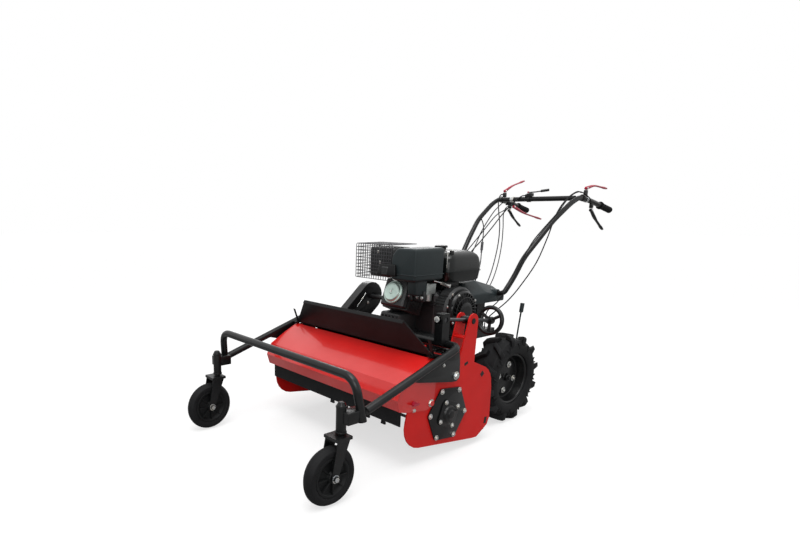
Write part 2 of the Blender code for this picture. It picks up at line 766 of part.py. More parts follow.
def cylinder_point(along, x=CYL_X):
    """A point on the cylinder's axis, which leans forward and up from the crankshaft."""
    return at(x, CRANK[0] - along * math.cos(CYL_TILT), CRANK[1] + along * math.sin(CYL_TILT))


def make_engine(dark, silver, black, plastic, zinc):
    lean = Matrix.Rotation(-CYL_TILT, 4, "X")
    x_mid = sum(CASE_X) / 2
    base_mid = (ENGINE_BASE_Z + CASE_TOP) / 2
    case = block((CASE_X[1] - CASE_X[0], 0.230, CASE_TOP - ENGINE_BASE_Z), at(x_mid, -0.180, base_mid), 0.016)
    foot = block((0.250, 0.290, 0.014), at(x_mid, -0.200, ENGINE_BASE_Z + 0.0075))
    barrel = block((0.120, 0.250, 0.115), cylinder_point(0.140), 0.010, 1, lean)
    fins = [block((0.162, 0.004, 0.150), cylinder_point(0.134 + FIN_PITCH * i), turn=lean)
            for i in range(FINS)]
    head = block((0.150, 0.040, 0.140), cylinder_point(0.245), 0.008, 1, lean)
    plug = block((0.050, 0.040, 0.050), at(-0.060, -0.480, 0.758), 0.008)
    plug_neck = between(0.0095, at(-0.047, -0.386, 0.706), at(-0.047, -0.475, 0.758), 8)
    shroud = turned([(0, 0.0), (SHROUD_R - 0.010, 0.0), (SHROUD_R, -0.012), (SHROUD_R, -0.062), (0, -0.062)],
                    at(RECOIL_X - GAP, *CRANK), "X", 18)
    engine = fuse(case, foot, barrel, head, plug, plug_neck, shroud, *fins)
    keep("engine_block", engine, dark)

    cover_at = cylinder_point(0.2655)
    axis = cylinder_point(1.0) - cylinder_point(0.0)
    cover = turned([(0, 0.022), (0.040, 0.021), (0.046, 0.012), (0.057, 0.010), (0.059, 0.0), (0, 0.0)],
                   cover_at, axis, 18)
    keep("valve_cover", cover, silver)
    make_recoil(black, plastic)
    make_tank(plastic, black)
    make_intake(plastic, silver)
    make_exhaust(black, zinc)
    make_engine_pulley(black)


def make_recoil(black, plastic):
    centre = at(RECOIL_X, *CRANK)
    depth = RECOIL_DEPTH
    cover = turned([
        (0, depth), (0.040, depth), (0.044, depth - 0.004), (0.086, depth - 0.008), (RECOIL_R, 0.012),
        (RECOIL_R, 0.0), (RECOIL_R - 0.003, 0.0), (RECOIL_R - 0.003, 0.011), (0.084, depth - 0.012),
        (0, depth - 0.012),
    ], centre, "X", 18)
    slot = block((0.040, 0.010, 0.034), centre + Vector((depth, 0, 0.066)))
    keep("recoil_cover", cut(cover, ring_of(slot, centre, RECOIL_SLOTS)), black)
    grip_at = at(RECOIL_X + 0.030, CRANK[0] - RECOIL_R - 0.0155, CRANK[1] + 0.045)
    stem = rod(0.005, 0.016, grip_at + Vector((0, 0.006, 0)), "Y", 8)
    bar = rod(0.008, 0.060, grip_at + Vector((0, -0.006, 0)), "Z", 10)
    keep("starter_handle", fuse(bar, stem), plastic, grip_at)


def make_tank(plastic, black):
    size = [b - a for a, b in (TANK_X, TANK_Y, TANK_Z)]
    centre = at(*[(a + b) / 2 for a, b in (TANK_X, TANK_Y, TANK_Z)])
    tank = block(size, centre, 0.036, 2)
    seam_z = TANK_Z[0] + 0.055
    seam = block((size[0] - 0.014, size[1] + 0.006, 0.005), Vector((centre.x, centre.y, seam_z)))
    neck = rod(0.026, 0.016, at(CAP_AT[0], CAP_AT[1], TANK_Z[1] + 0.002), "Z", 12)
    foot_height = TANK_Z[0] - CASE_TOP + 0.003
    foot = block((0.180, 0.140, foot_height), at(-0.030, -0.130, CASE_TOP + GAP + foot_height / 2))
    keep("fuel_tank", fuse(tank, seam, neck, foot), black)
    cap_at = at(CAP_AT[0], CAP_AT[1], TANK_Z[1] + 0.010 + GAP)
    cap = turned([(0, 0.016), (0.026, 0.014), (0.032, 0.010), (0.033, 0.0), (0, 0.0)], cap_at, "Z", 14)
    keep("fuel_cap", cap, plastic, cap_at)


def make_intake(plastic, silver):
    size = [b - a for a, b in (AIR_X, AIR_Y, AIR_Z)]
    centre = at(*[(a + b) / 2 for a, b in (AIR_X, AIR_Y, AIR_Z)])
    body = block(size, centre, 0.018, 2)
    band = block((size[0] + 0.004, size[1] + 0.004, 0.004), Vector((centre.x, centre.y, AIR_Z[0] + 0.030)))
    duct = block((0.062, 0.080, 0.085), at(INTAKE_X, -0.400, AIR_Z[0] - 0.030))
    keep("air_cleaner", fuse(body, band, duct), plastic)
    flange = block((0.050, 0.016, 0.056), at(INTAKE_X, -0.3516, 0.672))
    throat = block((0.044, 0.060, 0.050), at(INTAKE_X, -0.318, 0.670))
    bowl = rod(0.022, 0.050, at(INTAKE_X, -0.322, 0.636), "Z", 10)
    stub = rod(0.013, 0.036, at(0.046, -0.312, 0.660), "X", 8)
    keep("carburettor", fuse(throat, flange, bowl, stub), silver)


def make_exhaust(black, zinc):
    size = [b - a for a, b in (MUFFLER_X, MUFFLER_Y, MUFFLER_Z)]
    centre = at(*[(a + b) / 2 for a, b in (MUFFLER_X, MUFFLER_Y, MUFFLER_Z)])
    can = block(size, centre, 0.014)
    seam = block((size[0] + 0.008, 0.004, size[2] + 0.008), centre)
    pipe_stub = rod(0.014, 0.080, at(-0.150, -0.330, MUFFLER_Z[0] - 0.030), "Z", 8)
    tail = rod(0.012, 0.050, at(MUFFLER_X[0] - 0.015, -0.360, MUFFLER_Z[1] - 0.035), "X", 8)
    keep("muffler", fuse(can, seam, pipe_stub, tail), black)
    keep("muffler_guard", guard_cage(), zinc)


def guard_cage():
    """Wire mesh basket over the muffler: front, outer end and top in one folded grid."""
    (x0, x1), (y0, y1), (z0, z1) = GUARD_X, GUARD_Y, GUARD_Z
    nx = round((x1 - x0) / GUARD_PITCH)
    ny = round((y1 - y0) / GUARD_PITCH)
    nz = round((z1 - z0) / GUARD_PITCH)
    bm = bmesh.new()

    def grid(corner, u, v, nu, nv):
        rows = [[bm.verts.new(corner + u * (i / nu) + v * (j / nv)) for i in range(nu + 1)]
                for j in range(nv + 1)]
        for j in range(nv):
            for i in range(nu):
                bm.faces.new((rows[j][i], rows[j][i + 1], rows[j + 1][i + 1], rows[j + 1][i]))

    wide, deep, tall = Vector((x1 - x0, 0, 0)), Vector((0, y1 - y0, 0)), Vector((0, 0, z1 - z0))
    grid(at(x0, y0, z0), wide, tall, nx, nz)
    grid(at(x0, y1, z0), -deep, tall, ny, nz)
    grid(at(x0, y0, z1), wide, deep, nx, ny)
    bmesh.ops.remove_doubles(bm, verts=bm.verts, dist=1e-5)
    mesh = bpy.data.meshes.new("cage")
    bm.to_mesh(mesh)
    bm.free()
    ob = scrap(mesh)
    mod = ob.modifiers.new("wires", "WIREFRAME")
    mod.thickness = GUARD_WIRE
    mod.use_even_offset = False
    mod.use_boundary = True
    mod.use_replace = True
    return solidify(ob)


def capsule(c0, r0, c1, r1, steps=8):
    """Outline round two circles and their outer tangents."""
    dy, dz = c1[0] - c0[0], c1[1] - c0[1]
    along = math.degrees(math.atan2(dz, dy))
    lean = math.degrees(math.acos((r0 - r1) / math.hypot(dy, dz)))
    return (arc(c0, r0, along + lean, along + 360 - lean, steps)
            + arc(c1, r1, along - lean, along + lean, steps))


def make_engine_pulley(black):
    shaft_in = CASE_X[0] - GAP
    half = BELT_W / 2 + 0.004
    shaft_len = shaft_in - PULLEY_X - half
    shaft = rod(0.0125, shaft_len + 0.004, at(shaft_in - (shaft_len + 0.004) / 2, *CRANK), "X", 10)
    pulley = turned(pulley_profile(ENGINE_PULLEY_R), at(PULLEY_X, *CRANK), "X", 16)
    keep("engine_pulley", fuse(shaft, pulley), black, at(0, *CRANK))


def make_belt(rubber):
    slack = 4 * GAP - GROOVE
    inner = capsule(CRANK, ENGINE_PULLEY_R + slack, ROTOR, ROTOR_PULLEY_R + slack, 10)
    outer = capsule(CRANK, ENGINE_PULLEY_R - 0.002, ROTOR, ROTOR_PULLEY_R - 0.002, 10)
    half = BELT_W / 2 - 0.003
    keep("drive_belt", plate(outer, PULLEY_X - half, PULLEY_X + half, [inner]), rubber)


def make_belt_cover(mat):
    wall = BELT_COVER_WALL
    top, low = BELT_COVER_R
    shell = plate(capsule(CRANK, top, ROTOR, low, 9), BELT_COVER_FRONT, BELT_COVER_BACK)
    hollow = capsule(CRANK, top - wall, ROTOR, low - wall, 9)
    room = plate(hollow, BELT_COVER_FRONT + wall, BELT_COVER_BACK + 0.01)
    keep("belt_cover", cut(shell, room), mat)


# Console and handlebars

def make_console(mat):
    (x0, x1), (y0, y1), (z0, z1) = CONSOLE
    box = block((x1 - x0, y1 - y0, z1 - z0), at((x0 + x1) / 2, (y0 + y1) / 2, (z0 + z1) / 2), 0.020)
    slope = Matrix.Rotation(math.radians(-22), 4, "X")
    wedge = block((0.4, 0.30, 0.10), at(0, y1 + 0.004, z1 + 0.034), turn=slope)
    box = cut(box, wedge)
    sockets = [rod(BAR_R + 0.006, 0.040, at(s * 0.115, 0.185, 0.612), "X", 12) for s in (1, -1)]
    start, following = at(*BAR_PATH[0]), at(*BAR_PATH[1])
    along = (following - start).normalized()
    bore = between(BAR_R + 2 * GAP, start - along * 0.002, start + along * 0.040, 12)
    bores = [mirrored(bore), bore]
    keep("rear_console", cut(fuse(box, *sockets), *bores), mat)


def bar_line():
    points = [at(*p) for p in BAR_PATH]
    end = at(*BAR_END)
    direction = (end - points[-1]).normalized()
    return bent(points + [end - direction * 0.004], BAR_BEND, 1), direction, end


def make_handlebars(black, rubber):
    path, direction, end = bar_line()
    tube = pipe(path, BAR_R, 2)
    top_run = at(*BAR_PATH[-1]) - at(*BAR_PATH[-2])
    clamp = rod(BAR_R + 0.005, 0.020, at(0.2535, 0.745, 1.118), top_run, 10)
    red_perch = block((0.022, 0.030, 0.044), at(0.2535, PERCH_RED[1], PERCH_RED[2] - 0.026))
    black_perch = block((0.022, 0.030, 0.040), at(0.2575, PERCH_BLACK[1], PERCH_BLACK[2] + 0.018))
    tube = fuse(tube, clamp, red_perch, black_perch)
    left = tube
    right = mirrored(tube)
    extra = block((0.056, 0.024, 0.020), at(-0.232, PERCH_INNER[1], PERCH_INNER[2] + 0.002))
    keep("handle_tube_left", left, black)
    keep("handle_tube_right", fuse(right, extra), black)
    grip_mid = end - direction * (GRIP_LEN / 2)
    grip = turned([(0, GRIP_LEN / 2), (GRIP_R - 0.003, GRIP_LEN / 2), (GRIP_R, GRIP_LEN / 2 - 0.005),
                   (GRIP_R + 0.004, -GRIP_LEN / 2 + 0.004),
                   (GRIP_R + 0.003, -GRIP_LEN / 2), (0, -GRIP_LEN / 2)], grip_mid, direction, 12)
    bore = between(BAR_R + 2 * GAP, end - direction * (GRIP_LEN + 0.02), end - direction * 0.003, 12)
    grip = cut(grip, bore)
    keep("grip_right", mirrored(grip), rubber)
    keep("grip_left", grip, rubber)
    bar = rod(BAR_R, 2 * (0.2505 - BAR_R) - 0.003, at(0, *CROSSBAR), "X", 10)
    housing = block((0.040, 0.030, 0.026), at(HOUSING_X, CROSSBAR[0], CROSSBAR[1] + 0.022))
    band = rod(BAR_R + 0.003, 0.018, at(HOUSING_X, *CROSSBAR), "X", 10)
    well_height = 0.016
    well = rod(BUTTON_R + GAP, well_height, at(BUTTON[0], BUTTON[1], BUTTON_WELL + well_height / 2), "Z", 8)
    keep("crossbar", cut(fuse(bar, housing, band), well), black)


def lever(name, start, end, mat, sag):
    """A hand lever: an eye on its pivot and a bent blade."""
    a, b = at(*start), at(*end)
    direction = (b - a).normalized()
    up = Vector((1, 0, 0)).cross(direction).normalized()
    eye = rod(0.0085, 0.016, a, "X", 8)
    middle = a + direction * (b - a).length * SHOULDER + up * sag
    blade = pipe(bent([a, middle, b], 0.05, 2), LEVER_R, 1)
    keep(name, fuse(eye, blade), mat, a)


def make_levers(red, black):
    x, y, z = PERCH_RED
    lever("brake_lever_left", (x, y + 0.002, z + 0.006), (0.256, 1.010, 1.176), red, 0.016)
    lever("brake_lever_right", (-x, y + 0.002, z + 0.006), (-0.256, 0.985, 1.240), red, 0.010)
    x, y, z = PERCH_BLACK
    lever("clutch_lever_left", (x, y, z - 0.012), (0.262, 1.010, 0.940), black, -0.008)
    lever("clutch_lever_right", (-x, y, z - 0.012), (-0.262, 0.995, 0.950), black, -0.008)
    x, y, z = PERCH_INNER
    lever("drive_lever", (x, y, z - 0.018), (-0.190, 1.120, 0.996), red, -0.012)
    make_throttle(black)
    button = rod(BUTTON_R, 0.009, at(BUTTON[0], BUTTON[1], BUTTON[2] + 0.001), "Z", 8)
    keep("stop_button", button, red)


def make_throttle(black):
    """A hub on the housing with an arm that ends in a knob."""
    pivot = at(HOUSING_X + 0.006, CROSSBAR[0], CROSSBAR[1] + 0.0353 + GAP)
    hub = rod(0.011, 0.006, pivot + Vector((0, 0, 0.003)), "Z", 12)
    way = [Vector((0, 0, 0.0035)), Vector((0.024, 0.020, 0.006)), Vector((0.072, 0.062, 0.016))]
    arm = pipe([pivot + step for step in way], 0.003, 1)
    knob = between(0.006, pivot + Vector((0.050, 0.043, 0.0115)), pivot + Vector((0.078, 0.067, 0.0175)), 10)
    keep("throttle_lever", fuse(hub, arm, knob), black, pivot)


def make_cables(black):
    frame_left = (0.112, 0.092)
    frame_right = (-0.095, 0.180)
    routes = {
        "cable_left_brake": [(0.246, 0.742, 1.148), (0.236, 0.700, 1.150), (0.226, 0.620, 1.108),
                             (0.222, 0.540, 1.030), (0.222, 0.470, 0.900), (0.218, 0.390, 0.770),
                             (0.206, 0.280, 0.655), (0.190, 0.200, 0.580), (0.160, 0.130, 0.520),
                             (*frame_left, 0.455), (*frame_left, 0.438), (*frame_left, FRAME_CAP + 2 * GAP)],
        "cable_right_brake": [(-0.242, 0.742, 1.150), (-0.232, 0.700, 1.146), (-0.222, 0.664, 1.115),
                              (-0.214, 0.662, 1.050), (-0.202, 0.668, 0.960), (-0.190, 0.650, 0.850),
                              (-0.172, 0.590, 0.720), (-0.145, 0.500, 0.620), (-0.115, 0.380, 0.540),
                              (-0.098, 0.250, 0.480), (*frame_right, 0.450), (*frame_right, 0.436),
                              (*frame_right, FRAME_CAP + 2 * GAP)],
        "cable_throttle": [(-0.066, 0.699, 1.139), (-0.090, 0.690, 1.132), (-0.110, 0.640, 1.090),
                           (-0.106, 0.540, 1.030), (-0.080, 0.400, 0.950), (-0.050, 0.260, 0.880),
                           (-0.020, 0.130, 0.820), (0.000, 0.085, 0.760), (0.006, 0.052, 0.705),
                           (0.012, 0.010, 0.6888), (0.015, -0.059, 0.6885)],
    }
    for name, points in routes.items():
        keep(name, pipe(smooth_path([at(*p) for p in points], 2), CABLE_R, 1), black)


# Castor frame and height adjuster

def rail_point(y, x=RAIL_X):
    (y0, z0), (y1, z1) = RAIL_FRONT, RAIL_REAR
    return at(x, y, z0 + (z1 - z0) * (y - y0) / (y1 - y0))


def make_castor_frame(black):
    hinge = at(0, *PIVOT)
    tube = between(TUBE_R, rail_point(RAIL_FRONT[0] + TUBE_R + 0.004), rail_point(RAIL_SPLIT - GAP), 10)
    under = [(y, rail_point(y).z - TUBE_R - 0.006) for y in (RAIL_SPLIT + 0.006, -0.600)]
    line = [(-0.900, rail_point(-0.900).z - 0.010), (-0.870, 0.368), (-0.820, 0.352), (-0.640, 0.350)]
    line += arc(PIVOT, 0.026, 270, 380, 5) + [(-0.592, 0.440)] + under[::-1]
    back = RAIL_SPLIT - 0.004
    line += [(back, rail_point(back).z - TUBE_R - 0.006), (back, rail_point(back).z)]
    gusset = plate(line, GUSSET_X, GUSSET_X + PLATE)
    x_in, x_out = CUT_HALF + GAP, GUSSET_X + 0.002
    boss = rod(0.018, x_out - x_in, at((x_in + x_out) / 2, *PIVOT), "X", 12)
    pin = rod(PIVOT_R, 0.020, at(CUT_HALF - 0.004, *PIVOT), "X", 10)
    head = hex_bolt(at(GUSSET_X + 0.011, *PIVOT), "X", 0.013, 0.012)
    rail = fuse(tube, gusset, boss, pin, head)
    keep("castor_rail_right", mirrored(rail), black, hinge)
    keep("castor_rail_left", rail, black, hinge)

    corners = [rail_point(RAIL_SPLIT), rail_point(RAIL_REAR[0])]
    other = [Vector((-p.x, p.y, p.z)) for p in corners[::-1]]
    cross = pipe(bent(corners + other, CROSS_BEND, 4), TUBE_R, 2)
    base_z = RAIL_REAR[1] - 0.008
    post = block((*POST, POST_TOP - base_z), at(SCREW_X, SCREW_FRONT[0], (POST_TOP + base_z) / 2))
    seat = rod(BARREL_R + GAP, 0.1, at(SCREW_X, *SCREW_FRONT), "X", 14)
    window = block((0.024, 0.1, 0.030), at(SCREW_X, *SCREW_FRONT))
    keep("castor_cross_tube", cut(fuse(cross, post), seat, window), black, hinge)

    legs = [at(HOOP_X + 0.024, RAIL_FRONT[0] - 0.002, RAIL_FRONT[1] - 0.028), at(HOOP_X, HOOP_Y, HOOP_Z)]
    span = [Vector((-p.x, p.y, p.z)) for p in legs[::-1]]
    hoop = pipe(bent(legs + span, HOOP_BEND, 4), TUBE_R, 2)
    pieces = []
    for s in (1, -1):
        bracket_mid = (CASTOR_SWIVEL_Y + RAIL_FRONT[0]) / 2
        pieces.append(block((0.052, 0.080, 0.046), at(s * (CASTOR_X + 0.018), bracket_mid, FORK_TOP + 0.066)))
        socket_z = (SOCKET_TOP + FORK_TOP) / 2
        socket_at = at(s * CASTOR_X, CASTOR_SWIVEL_Y, socket_z)
        pieces.append(rod(SOCKET_R, SOCKET_TOP - FORK_TOP - 0.004, socket_at, "Z", 12))
    hoop = fuse(hoop, *pieces)
    bores = [rod(STEM_R + 2 * GAP, 0.2, at(s * CASTOR_X, CASTOR_SWIVEL_Y, FORK_TOP + 0.066), "Z", 12)
             for s in (1, -1)]
    keep("castor_front_hoop", cut(hoop, *bores), black, hinge)


def make_adjuster(black, steel):
    """Hand screw: held in the post by a cross barrel, threaded through the trunnion in the lift arm."""
    front = at(SCREW_X, *SCREW_FRONT)
    nut = at(SCREW_X, *ARM_PIN)
    axis = (nut - front).normalized()
    barrel = rod(BARREL_R, 0.034, front, "X", 14)
    bore = rod(SCREW_NECK_R + 2 * GAP, 0.2, front, axis, 12)
    keep("post_barrel", cut(barrel, bore), steel, front)
    thread_start = front + axis * (BARREL_R + 0.002)
    end = front + axis * (abs(HANDWHEEL_Y - SCREW_FRONT[0]) / abs(axis.y))
    neck = between(SCREW_NECK_R, front - axis * 0.036, thread_start + axis * 0.002, 12)
    shank = between(SCREW_R, thread_start, end + axis * 0.010, 12)
    lock_nut = rod(0.0115, 0.012, front - axis * 0.0325, axis, 6)
    hub = rod(0.017, 0.028, end, axis, 12)
    middle_r = HANDWHEEL_R - HANDWHEEL_RIM_R
    profile = arc((middle_r, 0), HANDWHEEL_RIM_R, 90, -270, 6)[:-1]
    rim = turned(profile, end, axis, 20)
    side = axis.cross(Vector((1, 0, 0))).normalized()
    spokes = []
    for i in range(3):
        a = math.radians(90 + 120 * i)
        out = side * math.sin(a) + Vector((1, 0, 0)) * math.cos(a)
        spokes.append(between(0.0055, end, end + out * (middle_r + 0.002), 6))
    keep("height_screw", fuse(shank, neck, lock_nut, hub, rim, *spokes), black, front)

    width = CUT_HALF + 0.003 - (ARM_INNER_X - PLATE - 0.003)
    trunnion = rod(TRUNNION_R, width, at(SCREW_X + 0.0002, *ARM_PIN), "X", 14)
    boss = rod(0.018, 0.030, nut, "X", 12)
    clear = rod(SCREW_R + THREAD_CLEARANCE, 0.1, nut, axis, 12)
    keep("trunnion_nut", cut(fuse(trunnion, boss), clear), black, nut)


def make_castors(black, rubber):
    for side, name in ((1, "left"), (-1, "right")):
        x = side * CASTOR_X
        swivel = at(x, CASTOR_SWIVEL_Y, 0)
        axle = at(x, CASTOR_SWIVEL_Y - CASTOR_TRAIL, CASTOR_R)
        stem_low, stem_high = FORK_TOP - 0.012, SOCKET_TOP + 0.006
        stem = rod(STEM_R, stem_high - stem_low, Vector((x, swivel.y, (stem_low + stem_high) / 2)), "Z", 12)
        cap = turned([(0, 0.016), (0.012, 0.013), (0.0185, 0.0), (0, 0.0)],
                     Vector((x, swivel.y, SOCKET_TOP + 0.001)), "Z", 12)
        crown_y = swivel.y - 0.012
        crown = block((0.076, 0.072, 0.012), Vector((x, crown_y, FORK_TOP - 0.0075)))
        legs = []
        for s in (1, -1):
            inner = x + s * (CASTOR_W / 2 + 0.004)
            outer = inner + s * FORK_SHEET
            line = [(CASTOR_SWIVEL_Y - 0.042, FORK_TOP - 0.006), (CASTOR_SWIVEL_Y + 0.018, FORK_TOP - 0.006)]
            line += arc((CASTOR_SWIVEL_Y - CASTOR_TRAIL, CASTOR_R), 0.018, 380, 160, 4)
            legs.append(plate(line, min(inner, outer), max(inner, outer)))
        pin = rod(CASTOR_BORE - 2 * GAP, 0.084, axle, "X", 10)
        nuts = [hex_bolt(axle + Vector((s * 0.040, 0, 0)), "X", 0.013, 0.010) for s in (1, -1)]
        keep(f"castor_fork_{name}", fuse(crown, stem, cap, *legs, pin, *nuts), black, swivel)

        keep(f"castor_wheel_{name}", castor_wheel(axle), rubber, axle)


def castor_wheel(axle):
    rolling = CASTOR_R / math.cos(math.pi / CASTOR_STEPS)
    half = CASTOR_W / 2
    side = [(CASTOR_BORE, half + 0.001), (0.020, half + 0.001), (0.024, half - 0.013), (0.058, half - 0.013),
            (0.076, half - 0.001), (CASTOR_R - 0.012, half - 0.001), (rolling, half - 0.013)]
    wheel = turned(side + [(r, -h) for r, h in reversed(side)], axle, "X", CASTOR_STEPS)
    return spin_half(wheel, axle, CASTOR_STEPS)


def spin_half(ob, centre, steps):
    """Turn a wheel by half a facet so that it stands on a flat."""
    turned_copy = spun(ob, centre, 180 / steps)
    bpy.data.objects.remove(ob, do_unlink=True)
    return turned_copy


def make_latch(mat):
    """Wing screw that clamps the hood's flap to the left plate."""
    y, z = LATCH
    shank = rod(LATCH_R, 0.024, at(FLAP_X - 0.004, y, z), "X", 8)
    collar = rod(0.010, 0.010, at(FLAP_X + GAP + 0.005, y, z), "X", 8)
    wing = block((0.010, 0.034, 0.008), at(FLAP_X + GAP + 0.012, y, z))
    keep("hood_latch", fuse(shank, collar, wing), mat, at(FLAP_X, y, z))


def make_gear_lever(black):
    base = at(*GEAR_LEVER, WHEEL_R - 0.004 + GAP)
    foot = rod(0.010, 0.024, base, "X", 12)
    stem = pipe([base, base + Vector((0.0, 0.010, 0.16)), base + Vector((0.004, 0.022, 0.300))], 0.005, 1)
    knob = between(0.011, base + Vector((0.004, 0.020, 0.285)), base + Vector((0.0045, 0.026, 0.335)), 12)
    keep("gear_lever", fuse(foot, stem, knob), black, base)


def build():
    clear_scene()
    red = finish("red_paint", RED, 0.28)
    black = finish("black_paint", BLACK, 0.35)
    plastic = finish("dark_plastic", (0.030, 0.036, 0.042), 0.5)
    rubber = finish("rubber", (0.016, 0.016, 0.018), 0.85)
    dark = finish("cast_alloy_black", (0.030, 0.030, 0.032), 0.55, 0.4)
    silver = finish("bright_alloy", (0.62, 0.64, 0.64), 0.28, 1.0)
    zinc = finish("zinc", (0.60, 0.60, 0.58), 0.32, 1.0)
    steel = finish("steel", (0.36, 0.36, 0.37), 0.40, 1.0)
    make_wheels(black, rubber)
    make_gearbox(dark)
    make_main_frame(black)
    make_deck(red, black, rubber)
    make_rotor(steel)
    make_engine(dark, silver, black, plastic, zinc)
    make_belt(rubber)
    make_belt_cover(black)
    make_console(plastic)
    make_handlebars(black, rubber)
    make_levers(red, black)
    make_cables(black)
    make_castor_frame(black)
    make_adjuster(black, steel)
    make_castors(black, rubber)
    make_latch(red)
    make_gear_lever(black)
    for scrap_mesh in [m for m in bpy.data.meshes if m.users == 0]:
        bpy.data.meshes.remove(scrap_mesh)


build()
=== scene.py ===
# %% [markdown]
# A walk-behind stubble mower, finished piece by piece.
#
# The imported model already holds every piece at its real size and on its joint. This lesson gives the pieces
# their surfaces: fine tread and tubes, rounded sheet edges, bolts, ribs and paint. It starts by loading that
# model.

# %% Load the frame
import json
import math

import bmesh
import bpy
from mathutils import Matrix, Vector


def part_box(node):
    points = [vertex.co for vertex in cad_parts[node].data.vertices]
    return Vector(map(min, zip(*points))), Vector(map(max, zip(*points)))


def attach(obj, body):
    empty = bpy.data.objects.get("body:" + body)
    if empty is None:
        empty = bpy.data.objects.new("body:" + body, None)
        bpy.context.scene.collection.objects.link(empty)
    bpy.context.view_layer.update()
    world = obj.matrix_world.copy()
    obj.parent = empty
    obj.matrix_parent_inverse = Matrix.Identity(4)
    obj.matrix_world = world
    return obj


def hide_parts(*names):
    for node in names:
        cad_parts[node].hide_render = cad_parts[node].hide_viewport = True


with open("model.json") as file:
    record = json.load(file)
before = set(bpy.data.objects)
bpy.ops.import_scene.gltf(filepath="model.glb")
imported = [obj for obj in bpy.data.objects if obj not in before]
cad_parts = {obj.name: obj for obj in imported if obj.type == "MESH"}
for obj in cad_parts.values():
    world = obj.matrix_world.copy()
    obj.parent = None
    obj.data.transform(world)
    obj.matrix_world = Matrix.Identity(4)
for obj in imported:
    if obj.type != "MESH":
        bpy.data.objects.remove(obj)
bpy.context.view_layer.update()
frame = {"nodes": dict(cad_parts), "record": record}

BODY_OF = {node: body for body, nodes in frame["record"]["behaviour"]["bodies"].items() for node in nodes}

# %% [markdown]
# Places along the machine are easiest to read from the drive axle, because the engine, the deck and the
# handlebars are all hung on it. The rim of the left wheel is a turned piece, so the middle of its box is the
# axle. Metres, the machine faces -Y and its left side is +X.

# %% The axle
RIM_LOW, RIM_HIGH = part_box("drive_rim_left")
AXLE_Y, AXLE_Z = [(low + high) / 2 for low, high in zip(RIM_LOW.yz, RIM_HIGH.yz)]
ORIGIN = Vector((0, 0, 0))
ACROSS, ALONG, UP = Vector((1, 0, 0)), Vector((0, 1, 0)), Vector((0, 0, 1))
SIDES = ((1, "left"), (-1, "right"))


def at(x, y, z):
    """A point whose y is counted from the drive axle."""
    return Vector((x, AXLE_Y + y, z))


def middle(node):
    low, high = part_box(node)
    return (low + high) / 2


print("axle at y", round(AXLE_Y, 4), "z", round(AXLE_Z, 4))

# %% [markdown]
# Finishes come from nodes, because paint and rubber then keep their grain at real scale on every piece. Long
# chains of Math nodes are hard to read, so a small class wraps a socket and lets Python's operators add
# them: `1 - 0.5 * dust` makes its Multiply and Subtract nodes by itself.

# %% A socket that does sums
class Wire:
    """An output socket of a finish, on which + - and * add Math nodes."""

    def __init__(self, finish, socket):
        self.finish = finish
        self.socket = socket

    def sum(self, operation, *values):
        return self.finish.node("ShaderNodeMath", {"operation": operation}, dict(enumerate(values)))

    def __add__(self, other):
        return self.sum("ADD", self, other)

    def __radd__(self, other):
        return self.sum("ADD", other, self)

    def __sub__(self, other):
        return self.sum("SUBTRACT", self, other)

    def __rsub__(self, other):
        return self.sum("SUBTRACT", other, self)

    def __mul__(self, other):
        return self.sum("MULTIPLY", self, other)

    def __rmul__(self, other):
        return self.sum("MULTIPLY", other, self)


print("sockets can be added, subtracted and multiplied")

# %% [markdown]
# A finish is one Principled material. What is the same all over the surface is set on the shader's own
# socket. What varies comes through `feed`. Object coordinates are in metres here, since every mesh keeps its
# place in its vertices, so a grain of 2 mm is written as 0.002.

# %% A finish
class Finish:
    """One finish of the mower: its shader, its record slot and the nodes that vary it over the surface."""

    def __init__(self, name, slot, colour, roughness, sockets=None):
        self.slot = slot
        self.material = bpy.data.materials.new(name)
        self.material.use_nodes = True
        self.tree = self.material.node_tree
        self.shader = self.tree.nodes["Principled BSDF"]
        self.feed("Base Color", (*colour, 1.0))
        self.feed("Roughness", roughness)
        for socket, value in (sockets or {}).items():
            self.feed(socket, value)
        self.place = self.node("ShaderNodeTexCoord", output="Object")

    def plug(self, socket, value):
        if isinstance(value, Wire):
            self.tree.links.new(value.socket, socket)
        else:
            socket.default_value = value

    def feed(self, socket, value):
        self.plug(self.shader.inputs[socket], value)

    def node(self, kind, settings=None, values=None, output=0):
        made = self.tree.nodes.new(kind)
        for key, value in (settings or {}).items():
            setattr(made, key, value)
        for key, value in (values or {}).items():
            self.plug(made.inputs[key], value)
        return Wire(self, made.outputs[output])

    def noise(self, size, detail=3.0):
        """Cloudy values about 0.5, with blobs about size metres across."""
        values = {"Vector": self.place, "Scale": 1 / size, "Detail": detail}
        return self.node("ShaderNodeTexNoise", None, values)

    def grains(self, size):
        """Distance to the nearest grain, for a stippled or cast skin."""
        return self.node("ShaderNodeTexVoronoi", None, {"Vector": self.place, "Scale": 1 / size})

    def tone(self, amount, first, second):
        """A colour between two, where amount goes from 0 to 1."""
        return self.node("ShaderNodeMix", {"data_type": "RGBA"}, {0: amount, 6: first, 7: second}, 2)

    def relief(self, height, depth):
        """Bump of a given depth in metres."""
        self.feed("Normal", self.node("ShaderNodeBump", None, {"Height": height, "Distance": depth}))

    def ramp(self, value, low, high):
        """0 below low, 1 above high and straight between."""
        values = {"Value": value, "From Min": low, "From Max": high}
        return self.node("ShaderNodeMapRange", {"clamp": True}, values)


def shade(colour, factor):
    """A colour made lighter or darker."""
    return (*[min(1.0, c * factor) for c in colour], 1.0)


print("finishes are ready to mix")

